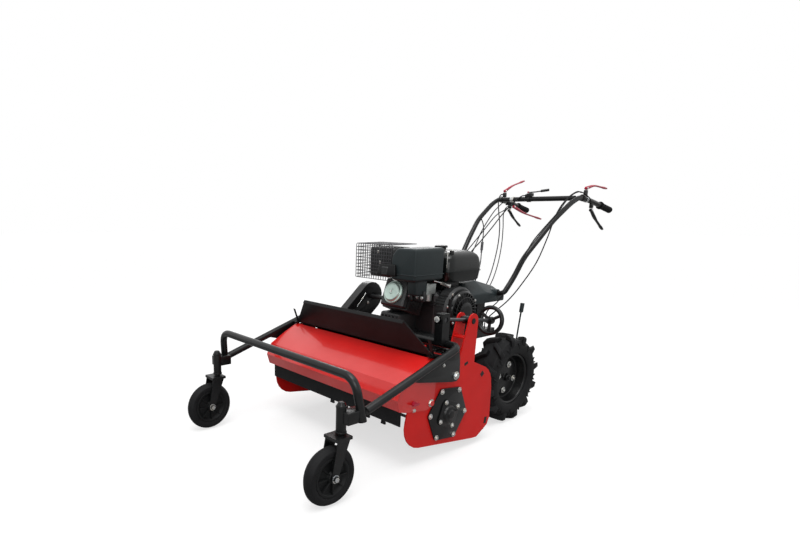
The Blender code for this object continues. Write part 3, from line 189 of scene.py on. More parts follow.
# %% [markdown]
# The deck, hood and side plates are powder coated red. Powder coat flows into a faint orange peel, a few
# millimetres across and only microns deep, and gathers fine dust that makes it a little paler in patches. A
# clear coat on the shader gives the second, sharper reflection of the thick gloss film.

# %% Red powder coat
RED = (0.68, 0.010, 0.008)


def red_powder(name, gloss):
    """Gloss is 1 for the polished hood and lower for the plates that throw up stubble."""
    paint = Finish(name, "red_paint", RED, 0.30,
                   {"Coat Roughness": 0.07, "Specular IOR Level": 0.15 + 0.35 * gloss})
    patches = paint.ramp(paint.noise(0.16), 0.35, 0.7)
    paint.feed("Base Color", paint.tone(patches, shade(RED, 0.93), shade(RED, 1.06)))
    paint.feed("Roughness", 0.40 - 0.14 * gloss + 0.10 * paint.noise(0.05))
    paint.feed("Coat Weight", gloss * (0.55 + 0.25 * patches))
    paint.relief(paint.noise(0.0035, 1.0), 0.00012)
    return paint


red_paint = red_powder("red_powder_coat", 1.0)
plate_red = red_powder("red_plate_coat", 0.15)
print(red_paint.material.name, plate_red.material.name)

# %% [markdown]
# Tubes, forks, shield and covers have a black powder coat with less gloss. The same recipe with a rougher
# base keeps the soft streaks of light that run along the round tubes.

# %% Black powder coat
BLACK = (0.0042, 0.0044, 0.0048)


def black_powder(name, rough, coat, shine):
    paint = Finish(name, "black_paint", BLACK, rough, {"Coat Roughness": 0.16, "Specular IOR Level": shine})
    patches = paint.ramp(paint.noise(0.09), 0.35, 0.7)
    paint.feed("Base Color", paint.tone(patches, shade(BLACK, 0.8), shade(BLACK, 1.35)))
    paint.feed("Roughness", rough - 0.05 + 0.12 * paint.noise(0.03))
    paint.feed("Coat Weight", coat * (0.7 + 0.4 * patches))
    paint.relief(paint.noise(0.0028, 1.0), 0.0001)
    return paint


black_paint = black_powder("black_powder_coat", 0.36, 0.3, 0.2)
shield_paint = black_powder("black_sheet_coat", 0.42, 0.10, 0.16)
print(black_paint.material.name, shield_paint.material.name)

# %% [markdown]
# Air cleaner, console and castor hubs are moulded in dark plastic. Its skin is etched with a fine grain, so
# the bump is a Voronoi pattern of about a millimetre. Tank and levers are the same family under a thin gloss
# coat, and the tank has hardly any grain.

# %% Moulded plastics
def moulded(name, slot, colour, rough, grain, depth, coat=0.0, shine=0.5):
    plastic = Finish(name, slot, colour, rough, {"Coat Roughness": 0.1, "Specular IOR Level": shine})
    cloud = plastic.noise(0.07)
    plastic.feed("Base Color", plastic.tone(cloud, shade(colour, 0.85), shade(colour, 1.18)))
    plastic.feed("Roughness", rough - 0.06 + 0.12 * plastic.noise(0.02))
    if coat:
        plastic.feed("Coat Weight", coat * (0.7 + 0.5 * cloud))
    plastic.relief(plastic.grains(grain), depth)
    return plastic


grey_plastic = moulded("blue_grey_plastic", "dark_plastic", (0.013, 0.020, 0.022), 0.46, 0.0011, 0.00006,
                       shine=0.32)
tank_black = moulded("gloss_tank_black", "tank_black", (0.0042, 0.0056, 0.0052), 0.24, 0.006, 0.000006,
                     coat=0.16, shine=0.22)
hub_black = moulded("black_hub_plastic", "dark_plastic", (0.0052, 0.0056, 0.0060), 0.52, 0.0012, 0.00005,
                    shine=0.2)
lever_red = moulded("crimson_plastic", "lever_red", (0.42, 0.010, 0.040), 0.34, 0.0016, 0.00004, 0.2)
print(grey_plastic.material.name, tank_black.material.name, hub_black.material.name, lever_red.material.name)

# %% [markdown]
# Rubber is never quite black: a bloom of wax and dust makes it greyer where it stands proud. The tyres also
# show rings left by the mould, and those are rings about the axle. Distance from the axle is worked out from
# Y and Z, and a sine of that distance makes the rings.

# %% Rubber and tyres
RUBBER = (0.0065, 0.0066, 0.0072)
MOULD_RING = 0.004


def rubber_skin(name, slot, rough, axle=None):
    rubber = Finish(name, slot, RUBBER, rough, {"Specular IOR Level": 0.17})
    dust = rubber.ramp(rubber.noise(0.035, 6.0), 0.42, 0.75)
    clean = 1 - 0.55 * dust
    rubber.feed("Base Color", rubber.tone(clean, shade(RUBBER, 2.6), (*RUBBER, 1.0)))
    rubber.feed("Roughness", rough + 0.12 * dust)
    height = rubber.noise(0.0018, 2.0)
    if axle:
        outward = rubber.node("ShaderNodeVectorMath", {"operation": "SUBTRACT"}, {0: rubber.place, 1: axle})
        flat = rubber.node("ShaderNodeVectorMath", {"operation": "MULTIPLY"}, {0: outward, 1: (0, 1, 1)})
        radius = rubber.node("ShaderNodeVectorMath", {"operation": "LENGTH"}, {0: flat}, "Value")
        turns = radius * (2 * math.pi / MOULD_RING)
        height = height * 0.4 + turns.sum("SINE", turns) * 0.3
    rubber.relief(height, 0.00022)
    return rubber


black_rubber = rubber_skin("black_rubber", "rubber", 0.62)
drive_rubber = rubber_skin("drive_tyre_rubber", "tyre", 0.60, (0.0, AXLE_Y, AXLE_Z))
print(black_rubber.material.name, drive_rubber.material.name)

# %% [markdown]
# The castings are sprayed black over a rough sand-cast skin, which shows as grains of one to three
# millimetres. Machined and plated metal is bright instead: zinc carries a faint yellow and blue cloud.

# %% Castings and bare metal
def casting(name, slot, colour, rough, metallic, grain, depth):
    metal = Finish(name, slot, colour, rough, {"Metallic": metallic})
    cloud = metal.noise(0.03, 4.0)
    metal.feed("Base Color", metal.tone(cloud, shade(colour, 0.72), shade(colour, 1.3)))
    metal.feed("Roughness", rough - 0.08 + 0.16 * metal.noise(0.012))
    metal.relief(metal.grains(grain), depth)
    return metal


def plated():
    zinc = Finish("zinc_plate", "steel", (0.62, 0.61, 0.57), 0.26, {"Metallic": 1.0})
    cloud = zinc.ramp(zinc.noise(0.02), 0.3, 0.7)
    zinc.feed("Base Color", zinc.tone(cloud, (0.66, 0.63, 0.55, 1.0), (0.56, 0.59, 0.62, 1.0)))
    zinc.feed("Roughness", 0.20 + 0.16 * zinc.noise(0.008))
    zinc.relief(zinc.noise(0.002), 0.00004)
    return zinc


black_casting = casting("painted_casting", "cast_alloy", (0.0085, 0.0092, 0.0098), 0.46, 0.0, 0.0016, 0.00018)
bright_casting = casting("bright_casting", "bright_alloy", (0.50, 0.53, 0.51), 0.30, 1.0, 0.0022, 0.00012)
pale_alloy = casting("pale_polished_alloy", "bright_alloy", (0.55, 0.68, 0.62), 0.34, 0.6, 0.0022, 0.00006)
dark_steel = casting("blackened_steel", "steel", (0.085, 0.085, 0.090), 0.40, 1.0, 0.0030, 0.00006)
zinc_plate = plated()
print(black_casting.material.name, bright_casting.material.name, dark_steel.material.name,
      zinc_plate.material.name)

# %% [markdown]
# Now the shape helpers. A finished piece needs a material, smooth shading, the body that it rides on, and
# often a plain node that it stands in for. One function does all of that, so no piece misses one.

# %% Hand a piece over
SHARP_FROM = 38


def mesh_from(bm):
    mesh = bpy.data.meshes.new("shape")
    bmesh.ops.recalc_face_normals(bm, faces=bm.faces)
    bm.to_mesh(mesh)
    bm.free()
    return mesh


def stand(name, data):
    """A new object in the scene."""
    ob = bpy.data.objects.new(name, data)
    bpy.context.scene.collection.objects.link(ob)
    return ob


def joined(*meshes):
    """Several meshes as one."""
    bm = bmesh.new()
    for mesh in meshes:
        bm.from_mesh(mesh)
    return mesh_from(bm)


def deliver(name, shape, finish, node=None, body=None, sharp=SHARP_FROM):
    """Make a piece from a mesh or a list of them: it stands in for a node, or rides on a body as an extra."""
    mesh = joined(*shape) if isinstance(shape, list) else shape
    piece = stand(name, mesh)
    mesh.materials.clear()
    mesh.materials.append(finish.material)
    mesh.shade_smooth()
    if sharp:
        mesh.set_sharp_from_angle(angle=math.radians(sharp))
    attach(piece, body or BODY_OF[node])
    if node:
        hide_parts(node)
    return piece


def other_side(mesh):
    """The same shape on the machine's other side."""
    copy = mesh.copy()
    copy.transform(Matrix.Scale(-1, 4, ACROSS))
    copy.flip_normals()
    return copy


def pair(name, shape, finish, node=None, on=None):
    """A piece on the left and its mirror image on the right, for a pair of nodes or just on their bodies."""
    left = joined(*shape) if isinstance(shape, list) else shape
    for (_, word), mesh in zip(SIDES, (left, other_side(left))):
        if node:
            deliver(f"{name}_{word}", mesh, finish, f"{node}_{word}")
        else:
            deliver(f"{name}_{word}", mesh, finish, body=BODY_OF[f"{on}_{word}"])


print("pieces can be handed over")

# %% [markdown]
# Sheet metal, castings and mouldings have no knife edges. The quickest honest way to finish a correct but
# plain solid is to copy it, weld its facets into whole faces and round its edges by a millimetre with a
# Bevel modifier, which catches the light along every edge.

# %% Round the edges of a plain solid
SAME_PLACE = 2e-5
FLAT_BELOW = 0.6
ROUND_FROM = 32


def plain_solid(node):
    """A node's own mesh, open for editing."""
    bm = bmesh.new()
    bm.from_mesh(frame["nodes"][node].data)
    bmesh.ops.remove_doubles(bm, verts=bm.verts, dist=SAME_PLACE)
    return bm


def whole_faces(bm):
    """Weld the facets into faces and drop the stored normals."""
    bmesh.ops.dissolve_limit(bm, angle_limit=math.radians(FLAT_BELOW), verts=bm.verts, edges=bm.edges)
    mesh = mesh_from(bm)
    old_normals = mesh.attributes.get("custom_normal")
    if old_normals:
        mesh.attributes.remove(old_normals)
    return mesh


def softened(finish, widths):
    """Rounded copies of plain nodes, each with the width of its edges."""
    for node, width in widths.items():
        piece = deliver(node + "_finished", whole_faces(plain_solid(node)), finish, node, sharp=0)
        edge = piece.modifiers.new("rounded_edges", "BEVEL")
        edge.width = width
        edge.segments = 2
        edge.limit_method = "ANGLE"
        edge.angle_limit = math.radians(ROUND_FROM)
        edge.harden_normals = True


print("softened() rounds edges")

# %% [markdown]
# Everything else is built from a few forms that a workshop knows too: a corner rounded to a radius, a block
# with rounded edges, a piece turned on a lathe, a plate cut from sheet and a bent tube.

# %% Rounded corners, blocks and lofts
def rounded(points, radius, steps=5, closed=False):
    """A line of points whose corners are replaced by short curves."""
    points = [Vector(p) for p in points]
    count = len(points)
    line = [] if closed else [points[0]]
    for i in range(0 if closed else 1, count if closed else count - 1):
        before, corner, after = points[i - 1], points[i], points[(i + 1) % count]
        reach = min(radius, 0.45 * (before - corner).length, 0.45 * (after - corner).length)
        start = corner + (before - corner).normalized() * reach
        end = corner + (after - corner).normalized() * reach
        for step in range(steps + 1):
            t = step / steps
            line.append(start * (1 - t) ** 2 + corner * (2 * t * (1 - t)) + end * t ** 2)
    if not closed:
        line.append(points[-1])
    return line


def bevelled(bm, edges, width, segments):
    bmesh.ops.bevel(bm, geom=edges, offset=width, segments=segments, profile=0.5, affect="EDGES")


def slab(size, centre, radius=0.003, segments=3, turn=None):
    """A block with rounded edges."""
    bm = bmesh.new()
    bmesh.ops.create_cube(bm, size=1.0)
    bmesh.ops.scale(bm, vec=Vector(size), verts=bm.verts)
    bevelled(bm, list(bm.edges), radius, segments)
    place = Matrix.Translation(centre)
    bmesh.ops.transform(bm, matrix=place @ turn if turn else place, verts=bm.verts)
    return mesh_from(bm)


def lean(degrees, axis="X"):
    return Matrix.Rotation(math.radians(degrees), 4, axis)


def loft(rings, edge=0.0, segments=2):
    """A solid through rings of points, one after the other, with rounded edges if asked."""
    bm = bmesh.new()
    rows = [[bm.verts.new(p) for p in ring] for ring in rings]
    count = len(rows[0])
    for here, following in zip(rows, rows[1:]):
        for j in range(count):
            k = (j + 1) % count
            bm.faces.new((here[j], here[k], following[k], following[j]))
    bm.faces.new(rows[0])
    bm.faces.new(rows[-1])
    if edge:
        bmesh.ops.recalc_face_normals(bm, faces=bm.faces)
        bevelled(bm, list(bm.edges), edge, segments)
    return mesh_from(bm)


print(len(rounded([(0, 0), (1, 0), (1, 1)], 0.2)), "points round one corner")

# %% [markdown]
# A lathe spins a profile of (radius, height) pairs. Bars, bolts and washers are the commonest turned pieces,
# so they get names of their own. Anything that repeats round a shaft is one shape spread by even turns.

# %% Turned pieces
def facing(centre, axis):
    """The matrix that stands a shape's Z on an axis through a point."""
    return Matrix.Translation(centre) @ axis.to_track_quat("Z", "Y").to_matrix().to_4x4()


def lathe(profile, centre, axis, steps, round_by):
    """Spin (radius, height) pairs about an axis. The first and last points lie on the axis, or the profile
    is a ring when they don't."""
    ring = min(r for r, _ in profile) > 1e-6
    line = rounded(profile, round_by, 3, closed=ring) if round_by else [Vector(p) for p in profile]
    bm = bmesh.new()
    rows = []
    for i in range(steps):
        a = 2 * math.pi * i / steps
        rows.append([bm.verts.new((r * math.cos(a), r * math.sin(a), h)) for r, h in line])
    last = len(line) if ring else len(line) - 1
    for i in range(steps):
        here, following = rows[i], rows[(i + 1) % steps]
        for j in range(last):
            k = (j + 1) % len(line)
            bm.faces.new((here[j], following[j], following[k], here[k]))
    bmesh.ops.remove_doubles(bm, verts=bm.verts, dist=1e-6)
    bmesh.ops.transform(bm, matrix=facing(centre, axis), verts=bm.verts)
    return mesh_from(bm)


def ring_of(radius, thick, sides):
    """The profile of a round ring."""
    angles = [2 * math.pi * i / sides for i in range(sides)]
    return [(radius + thick * math.cos(a), thick * math.sin(a)) for a in angles]


def bar(radius, start, end, steps=32, edge=0.0008):
    """A round bar with broken edges between two points."""
    length = (end - start).length
    profile = [(0, length / 2), (radius, length / 2), (radius, -length / 2), (0, -length / 2)]
    return lathe(profile, (start + end) / 2, end - start, steps, edge)


def collar(radius, centre, half, steps, edge=0.0012):
    """A short bar, given by its middle and half of its length as a vector."""
    return bar(radius, centre - half, centre + half, steps, edge)


def bolt(centre, axis, size, height, washer=1.7):
    """A hexagon head with a washer under it. Size is the radius over its corners."""
    head = [(0, height), (size * 0.82, height), (size, height * 0.72), (size, 0), (0, 0)]
    under, reach = height * 0.28, size * washer
    ring = [(0, under), (reach, under), (reach, 0), (0, 0)]
    return joined(lathe(head, centre, axis, 6, 0), lathe(ring, centre, axis, 24, 0.0004))


def bolts(places, axis, size, height, washer):
    return [bolt(at(*place), axis, size, height, washer) for place in places]


def spread(mesh, centre, count):
    """Copies of a shape, evenly spaced round an axis across the machine."""
    copies = []
    for i in range(count):
        copy = mesh.copy()
        copy.transform(Matrix.Translation(centre) @ Matrix.Rotation(2 * math.pi * i / count, 4, "X"))
        copies.append(copy)
    return copies


print("lathe, bar and bolt are ready")

# %% [markdown]
# Blender's curves do the rest of the workshop's jobs. A flat filled curve with some thickness is a plate cut
# to an outline, holes included, and a line with a round bevel is a bent tube.

# %% Plates and tubes
def curve_mesh(curve, place=None):
    """Turn a curve into a welded mesh."""
    ob = stand("curve", curve)
    graph = bpy.context.evaluated_depsgraph_get()
    graph.update()
    bm = bmesh.new()
    bm.from_mesh(bpy.data.meshes.new_from_object(ob.evaluated_get(graph)))
    bmesh.ops.remove_doubles(bm, verts=bm.verts, dist=1e-5)
    if place:
        bmesh.ops.transform(bm, matrix=place, verts=bm.verts)
    bpy.data.objects.remove(ob)
    return mesh_from(bm)


def plate(outline, x0, x1, holes=(), edge=0.0008):
    """A flat piece across the machine, cut to a (y, z) outline, with broken edges."""
    curve = bpy.data.curves.new("outline", "CURVE")
    curve.dimensions = "2D"
    curve.fill_mode = "BOTH"
    curve.extrude = abs(x1 - x0) / 2 - edge
    curve.bevel_depth = edge
    curve.bevel_resolution = 1
    curve.offset = -edge
    for loop in (outline, *holes):
        spline = curve.splines.new("POLY")
        spline.points.add(len(loop) - 1)
        for point, (y, z) in zip(spline.points, loop):
            point.co = (y, z, 0.0, 1.0)
        spline.use_cyclic_u = True
    sideways = Matrix(((0, 0, 1, (x0 + x1) / 2), (1, 0, 0, AXLE_Y), (0, 1, 0, 0), (0, 0, 0, 1)))
    return curve_mesh(curve, sideways)


def tube(path, radius, sides):
    """A round tube along a path of points."""
    curve = bpy.data.curves.new("tube", "CURVE")
    curve.dimensions = "3D"
    curve.bevel_depth = radius
    curve.bevel_resolution = (sides - 4) // 4
    curve.use_fill_caps = True
    spline = curve.splines.new("POLY")
    spline.points.add(len(path) - 1)
    for point, place in zip(spline.points, path):
        point.co = (*place, 1.0)
    return curve_mesh(curve)


def flow(points, steps=8):
    """A smooth curve through chosen points (Catmull-Rom)."""
    ends = [points[0] * 2 - points[1], *points, points[-1] * 2 - points[-2]]
    path = []
    for p0, p1, p2, p3 in zip(ends, ends[1:], ends[2:], ends[3:]):
        for i in range(steps):
            t = i / steps
            path.append(0.5 * (2 * p1 + (p2 - p0) * t + (2 * p0 - 5 * p1 + 4 * p2 - p3) * t * t
                               + (3 * p1 - p0 - 3 * p2 + p3) * t ** 3))
    path.append(points[-1])
    return path


def polar(centre, radius, degrees):
    """A (y, z) place on a circle."""
    a = math.radians(degrees)
    return (centre[0] + radius * math.cos(a), centre[1] + radius * math.sin(a))


def arc(centre, radius, start, end, steps):
    return [polar(centre, radius, start + (end - start) * i / steps) for i in range(steps + 1)]


def polygon(centre, radius, angles, corner, steps):
    """An outline through places on a circle, with rounded corners."""
    return [tuple(p) for p in rounded([polar(centre, radius, a) for a in angles], corner, steps, closed=True)]


print("plates and tubes are ready")

# %% [markdown]
# The drive tyres have an agricultural tread: bars that start beside the middle and sweep back over the
# shoulder, left and right in turn. Each bar is lofted in round coordinates, so that its base follows the
# carcass, and it is narrower on top than at its foot, because the mould has to let go of it.

# %% Drive tyre
TYRE_LOW, TYRE_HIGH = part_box("drive_tyre_left")
TYRE_R = AXLE_Z
TYRE_HALF = (TYRE_HIGH.x - TYRE_LOW.x) / 2
TYRE_X = (TYRE_HIGH.x + TYRE_LOW.x) / 2
CARCASS_R = TYRE_R - 0.022
RIM_R = 0.128
LUGS = 12
SIDEWALL = [(RIM_R, -0.013), (0.139, -0.008), (0.152, -0.005), (0.166, -0.0045), (0.178, -0.006),
            (CARCASS_R, -0.020)]
# Stations of a bar: distance from the middle line, sweep in radians, drop below the full height, foot.
BAR_STATIONS = [(0.003, 0.000, 0.0, 0.010), (0.020, 0.055, 0.0, 0.010), (0.042, 0.130, 0.0, 0.010),
                (0.056, 0.190, 0.001, 0.010), (0.0645, 0.215, 0.010, 0.024)]


def tread_bar(side, angle):
    """One bar, from beside the middle line to the shoulder."""
    rings = []
    for x, sweep, drop, sunk in BAR_STATIONS:
        foot, top = CARCASS_R - sunk, TYRE_R - 0.0004 - drop
        ring = []
        for r, wide in ((foot, 0.017), (top, 0.0125), (top, -0.0125), (foot, -0.017)):
            a = angle + sweep + wide / r
            ring.append((side * x, r * math.cos(a), r * math.sin(a)))
        rings.append(ring)
    return loft(rings, 0.0022)


def shoulder_rib(side, angle, splay):
    """One leg of the small V that stands on the sidewall between two bars."""
    line = [Vector((side * (TYRE_HALF - sunk), r * math.cos(a), r * math.sin(a)))
            for r, a, sunk in ((0.157, angle, 0.0052), (0.186, angle + splay, 0.0060))]
    return tube(line, 0.0032, 8)


def drive_tyre():
    outer = [(r, TYRE_HALF + inset) for r, inset in SIDEWALL]
    profile = outer + [(r, -h) for r, h in reversed(outer)]
    parts = [lathe(profile, ORIGIN, ACROSS, 112, 0.004)]
    for side, _ in SIDES:
        for i in range(LUGS):
            angle = 2 * math.pi * (i + (0.5 if side < 0 else 0.0)) / LUGS
            parts.append(tread_bar(side, angle))
            parts += [shoulder_rib(side, angle - 0.10, splay) for splay in (0.075, -0.075)]
    return joined(*parts)


def on_axle(mesh, x):
    copy = mesh.copy()
    copy.transform(Matrix.Translation((x, AXLE_Y, AXLE_Z)))
    return copy


tyre = drive_tyre()
for side, word in SIDES:
    deliver(f"tyre_{word}", on_axle(tyre, side * TYRE_X), drive_rubber, f"drive_tyre_{word}")
print(len(tyre.polygons), "faces a tyre")

# %% [markdown]
# The rims are pressed steel discs: a well that holds the beads, a flat face with four bolts, and a hub stub
# that goes into the gearbox. Turning is the natural way, and the bolts are zinc, so they are a piece apart.

# %% Rims and wheel bolts
BOLT_PLACES = [polar((0, 0), 0.067, 76 + 90 * i) for i in range(4)]
PAD_X = 0.0145


def drive_rim():
    r = RIM_R - 0.0008
    face = [(0, 0.030), (0.017, 0.030), (0.020, 0.0125), (0.086, 0.0125), (0.094, 0.002), (0.111, 0.001),
            (0.118, 0.046), (r, 0.050), (r, 0.042), (0.121, 0.036), (0.121, -0.036), (r, -0.044),
            (r, -0.050), (0.118, -0.046), (0.111, -0.006), (0.036, -0.010), (0.034, -0.034), (0.015, -0.034),
            (0.015, -0.100), (0, -0.100)]
    disc = lathe(face, ORIGIN, ACROSS, 96, 0.004)
    pads = [bar(0.015, Vector((0.011, y, z)), Vector((PAD_X, y, z))) for y, z in BOLT_PLACES]
    nut = bolt(Vector((0.0295, 0, 0)), ACROSS, 0.011, 0.0085, 1.3)
    return joined(disc, nut, *pads)


wheel_bolts = joined(*[bolt(Vector((PAD_X, y, z)), ACROSS, 0.0095, 0.009) for y, z in BOLT_PLACES])
pair("rim", on_axle(drive_rim(), TYRE_X), black_paint, "drive_rim")
pair("wheel_bolts", on_axle(wheel_bolts, TYRE_X), zinc_plate, on="drive_rim")
print("wheels done")

# %% [markdown]
# Each castor is a solid rubber wheel on a black hub in a bent steel fork. The wheel turns on its axle and
# the fork turns on its stem, so they ride on different bodies. The hub is turned, with eight stiffening ribs
# on each face.

# %% Castor wheels
CASTOR_RIBS = 8
CASTOR_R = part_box("castor_wheel_left")[1].z / 2


def castor_centre(word):
    centre = middle(f"castor_wheel_{word}")
    centre.z = CASTOR_R
    return centre


def castor_tyre(centre, half):
    profile = [(0.078, half - 0.004), (0.086, half - 0.0008), (0.100, half - 0.0012),
               (CASTOR_R - 0.010, half - 0.006), (CASTOR_R - 0.0012, half - 0.018), (CASTOR_R - 0.0004, 0.0)]
    profile += [(r, -h) for r, h in reversed(profile[:-1])]
    return lathe(profile, centre, ACROSS, 96, 0.005)


def castor_hub(centre, half):
    profile = [(0.0085, half + 0.0005), (0.019, half + 0.0005), (0.023, half - 0.012), (0.060, half - 0.014),
               (0.069, half - 0.003), (0.0785, half - 0.003)]
    profile += [(r, -h) for r, h in reversed(profile)]
    rib = slab((2 * half - 0.006, 0.004, 0.046), Vector((0, 0, 0.043)), 0.001, 2)
    return joined(lathe(profile, centre, ACROSS, 72, 0.0025), *spread(rib, centre, CASTOR_RIBS))


for _, word in SIDES:
    low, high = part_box(f"castor_wheel_{word}")
    centre, half = castor_centre(word), (high.x - low.x) / 2 - 0.001
    deliver(f"castor_tyre_{word}", castor_tyre(centre, half), black_rubber, f"castor_wheel_{word}")
    deliver(f"castor_hub_{word}", castor_hub(centre, half), hub_black, body=BODY_OF[f"castor_wheel_{word}"])
print("castor wheels", round(CASTOR_R * 2000), "mm across")

# %% [markdown]
# The forks are plain bent plate and only need their edges rounded. The nuts and washers on the ends of the
# wheels' axles are zinc and turn with the forks.

# %% Castor forks
softened(black_paint, {"castor_fork_left": 0.0015, "castor_fork_right": 0.0015})
for _, word in SIDES:
    wheel_at = castor_centre(word)
    nuts = [bolt(wheel_at + ACROSS * (s * 0.0352), ACROSS * s, 0.0125, 0.0100, 1.25) for s in (1, -1)]
    deliver(f"castor_nuts_{word}", nuts, zinc_plate, body=BODY_OF[f"castor_fork_{word}"])
print("forks done")

# %% [markdown]
# The castor frame is bent from 33 mm tube. A curve with a round bevel is the same thing as a tube bender: a
# path, a radius at each corner and a wall. The flat brackets and gussets are plate, fused to the tube by
# weld beads on the real machine and simply touching it here.

# %% Castor frame
TUBE_R = 0.0165
RAIL_X = 0.489
RAIL_FRONT = (-1.156, 0.333)
RAIL_REAR = (-0.617, 0.500)
SPLIT_Y = -0.700
CASTOR_X = 0.4536
SWIVEL_Y = -1.2246
HOOP_X, HOOP_Y, HOOP_Z = 0.470, -1.1785, 0.468
PIVOT = (-0.6129, 0.3761)
PLATE_FACE = 0.4498


def rail_point(y):
    (y0, z0), (y1, z1) = RAIL_FRONT, RAIL_REAR
    return at(RAIL_X, y, z0 + (z1 - z0) * (y - y0) / (y1 - y0))


def bent_across(points, bend):
    """A tube through points on the left and their mirror images on the right."""
    back = [Vector((-p.x, p.y, p.z)) for p in reversed(points)]
    return tube(rounded(points + back, bend, 12), TUBE_R, 32)


def front_hoop():
    legs = [at(HOOP_X + 0.024, RAIL_FRONT[0] - 0.002, RAIL_FRONT[1] - 0.028), at(HOOP_X, HOOP_Y, HOOP_Z)]
    bracket_y = (SWIVEL_Y + RAIL_FRONT[0]) / 2
    parts = [bent_across(legs, 0.062)]
    for side, _ in SIDES:
        top, low = at(side * CASTOR_X, SWIVEL_Y, 0.368), at(side * CASTOR_X, SWIVEL_Y, 0.266)
        parts += [slab((0.052, 0.080, 0.046), at(side * (CASTOR_X + 0.018), bracket_y, 0.328), 0.003),
                  bar(0.019, low, top, 40, 0.0015),
                  bar(0.0215, low, low + UP * 0.007, 40, 0.001),
                  bar(0.0205, top - UP * 0.005, top, 40, 0.001)]
    return joined(*parts)


def side_rail():
    pipe = tube([rail_point(RAIL_FRONT[0] + TUBE_R + 0.004), rail_point(SPLIT_Y - 0.0004)], TUBE_R, 32)
    under = [(y, rail_point(y).z - TUBE_R - 0.006) for y in (-0.600, -0.694, -0.704)]
    line = [(-0.900, rail_point(-0.900).z - 0.010), (-0.868, 0.394), (-0.850, 0.388), (-0.640, 0.352)]
    line += arc(PIVOT, 0.026, 270, 380, 12) + [(-0.592, 0.440)] + under + [(-0.704, rail_point(-0.704).z)]
    gusset = plate(line, RAIL_X - 0.014, RAIL_X - 0.008)
    boss = bar(0.018, at(PLATE_FACE, *PIVOT), at(RAIL_X - 0.012, *PIVOT))
    return joined(pipe, gusset, boss)


deliver("front_hoop_tube", front_hoop(), black_paint, "castor_front_hoop")
pair("rail", side_rail(), black_paint, "castor_rail")
pair("pivot_bolt", [bolt(at(RAIL_X - 0.008, *PIVOT), ACROSS, 0.013, 0.0090, 1.35),
                    bolt(at(RAIL_X - 0.008, -0.697, 0.434), ACROSS, 0.006, 0.0045, 1.2)],
     zinc_plate, on="castor_rail")
print("castor frame done")

# %% [markdown]
# The cross tube carries a post, a square tube with a window that holds the barrel of the hand screw. The
# post is cut from the plain solid of the frame by keeping what lies above the tube, so the window stays the
# same as the one that the screw moves in.

# %% Cross tube and post
SCREW_X = 0.415
POST_Y = -0.640


def post_tube():
    """The part of the plain cross tube that is the post."""
    bm = plain_solid("castor_cross_tube")
    cuts = ((at(SCREW_X, POST_Y, RAIL_REAR[1] + 0.002), UP), (at(SCREW_X - 0.0205, POST_Y, 0), ACROSS))
    for corner, keep in cuts:
        geometry = [*bm.verts, *bm.edges, *bm.faces]
        bmesh.ops.bisect_plane(bm, geom=geometry, plane_co=corner, plane_no=keep, clear_inner=True)
    bmesh.ops.holes_fill(bm, edges=list(bm.edges), sides=0)
    return whole_faces(bm)


cross_tube = bent_across([rail_point(SPLIT_Y), rail_point(RAIL_REAR[0])], 0.075)
deliver("cross_tube", cross_tube, black_paint, "castor_cross_tube")
deliver("screw_post", post_tube(), black_paint, body="castor_frame")
print("cross tube and post done")

# %% [markdown]
# The hand screw has a real thread, cut by a profile that climbs one pitch each turn. Blender's Screw
# modifier would do it too, but a helix written as rows of points shows how a thread works. The handwheel is
# a thin black rim on three spokes.

# %% Hand screw
POST_BORE = at(SCREW_X, POST_Y, 0.606)
ARM_PIN = at(SCREW_X, -0.474, 0.585)
SCREW_AXIS = (ARM_PIN - POST_BORE).normalized()
HANDWHEEL_R = 0.068
HANDWHEEL_WIRE = 0.0095
PITCH = 0.004
ROWS_A_TURN = 6
THREAD_SIDES = 20


def on_screw(distance):
    """A point on the screw's axis, counted from the bore of the post."""
    return POST_BORE + SCREW_AXIS * distance


def thread(start, length, outer, inner):
    """A threaded bar: rows of points round the bar whose radius follows a sloping wave."""
    rows = round(length / PITCH * ROWS_A_TURN)
    rings = []
    for i in range(rows + 1):
        h = length * i / rows
        ring = []
        for j in range(THREAD_SIDES):
            phase = (h / PITCH - j / THREAD_SIDES) % 1.0
            r = inner + (outer - inner) * (1 - abs(2 * phase - 1))
            a = 2 * math.pi * j / THREAD_SIDES
            ring.append((r * math.cos(a), r * math.sin(a), h))
        rings.append(ring)
    mesh = loft(rings)
    mesh.transform(facing(start, SCREW_AXIS))
    return mesh


def handwheel(centre):
    rim = ring_of(HANDWHEEL_R - HANDWHEEL_WIRE, HANDWHEEL_WIRE, 12)
    parts = [lathe(rim, centre, SCREW_AXIS, 64, 0), collar(0.017, centre, SCREW_AXIS * 0.014, 32, 0.002)]
    side = SCREW_AXIS.cross(ACROSS).normalized()
    for degrees in (90, 210, 330):
        a = math.radians(degrees)
        out = side * math.sin(a) + ACROSS * math.cos(a)
        parts.append(tube([centre + out * 0.010, centre + out * (HANDWHEEL_R - 0.008)], 0.0072, 12))
    return joined(*parts)


wheel_centre = on_screw(0.340 / SCREW_AXIS.y)
screw_parts = [bar(0.007, on_screw(-0.036), on_screw(0.016)), thread(on_screw(0.0135), 0.215, 0.008, 0.0068),
               bar(0.0078, on_screw(0.228), wheel_centre)]
screw_end = bolt(on_screw(-0.0385), SCREW_AXIS, 0.0115, 0.012, 1.1)
deliver("hand_screw_bar", screw_parts, dark_steel, "height_screw")
deliver("handwheel", handwheel(wheel_centre), black_paint, body=BODY_OF["height_screw"])
deliver("screw_nut", screw_end, zinc_plate, body=BODY_OF["height_screw"])
softened(dark_steel, {"post_barrel": 0.0006})
softened(black_paint, {"trunnion_nut": 0.0008})
print("hand screw done")

# %% [markdown]
# Deck, side plates, hood, shield and curtains are correct as plain solids. The paint, rounded edges and
# separate zinc bolts do the rest.

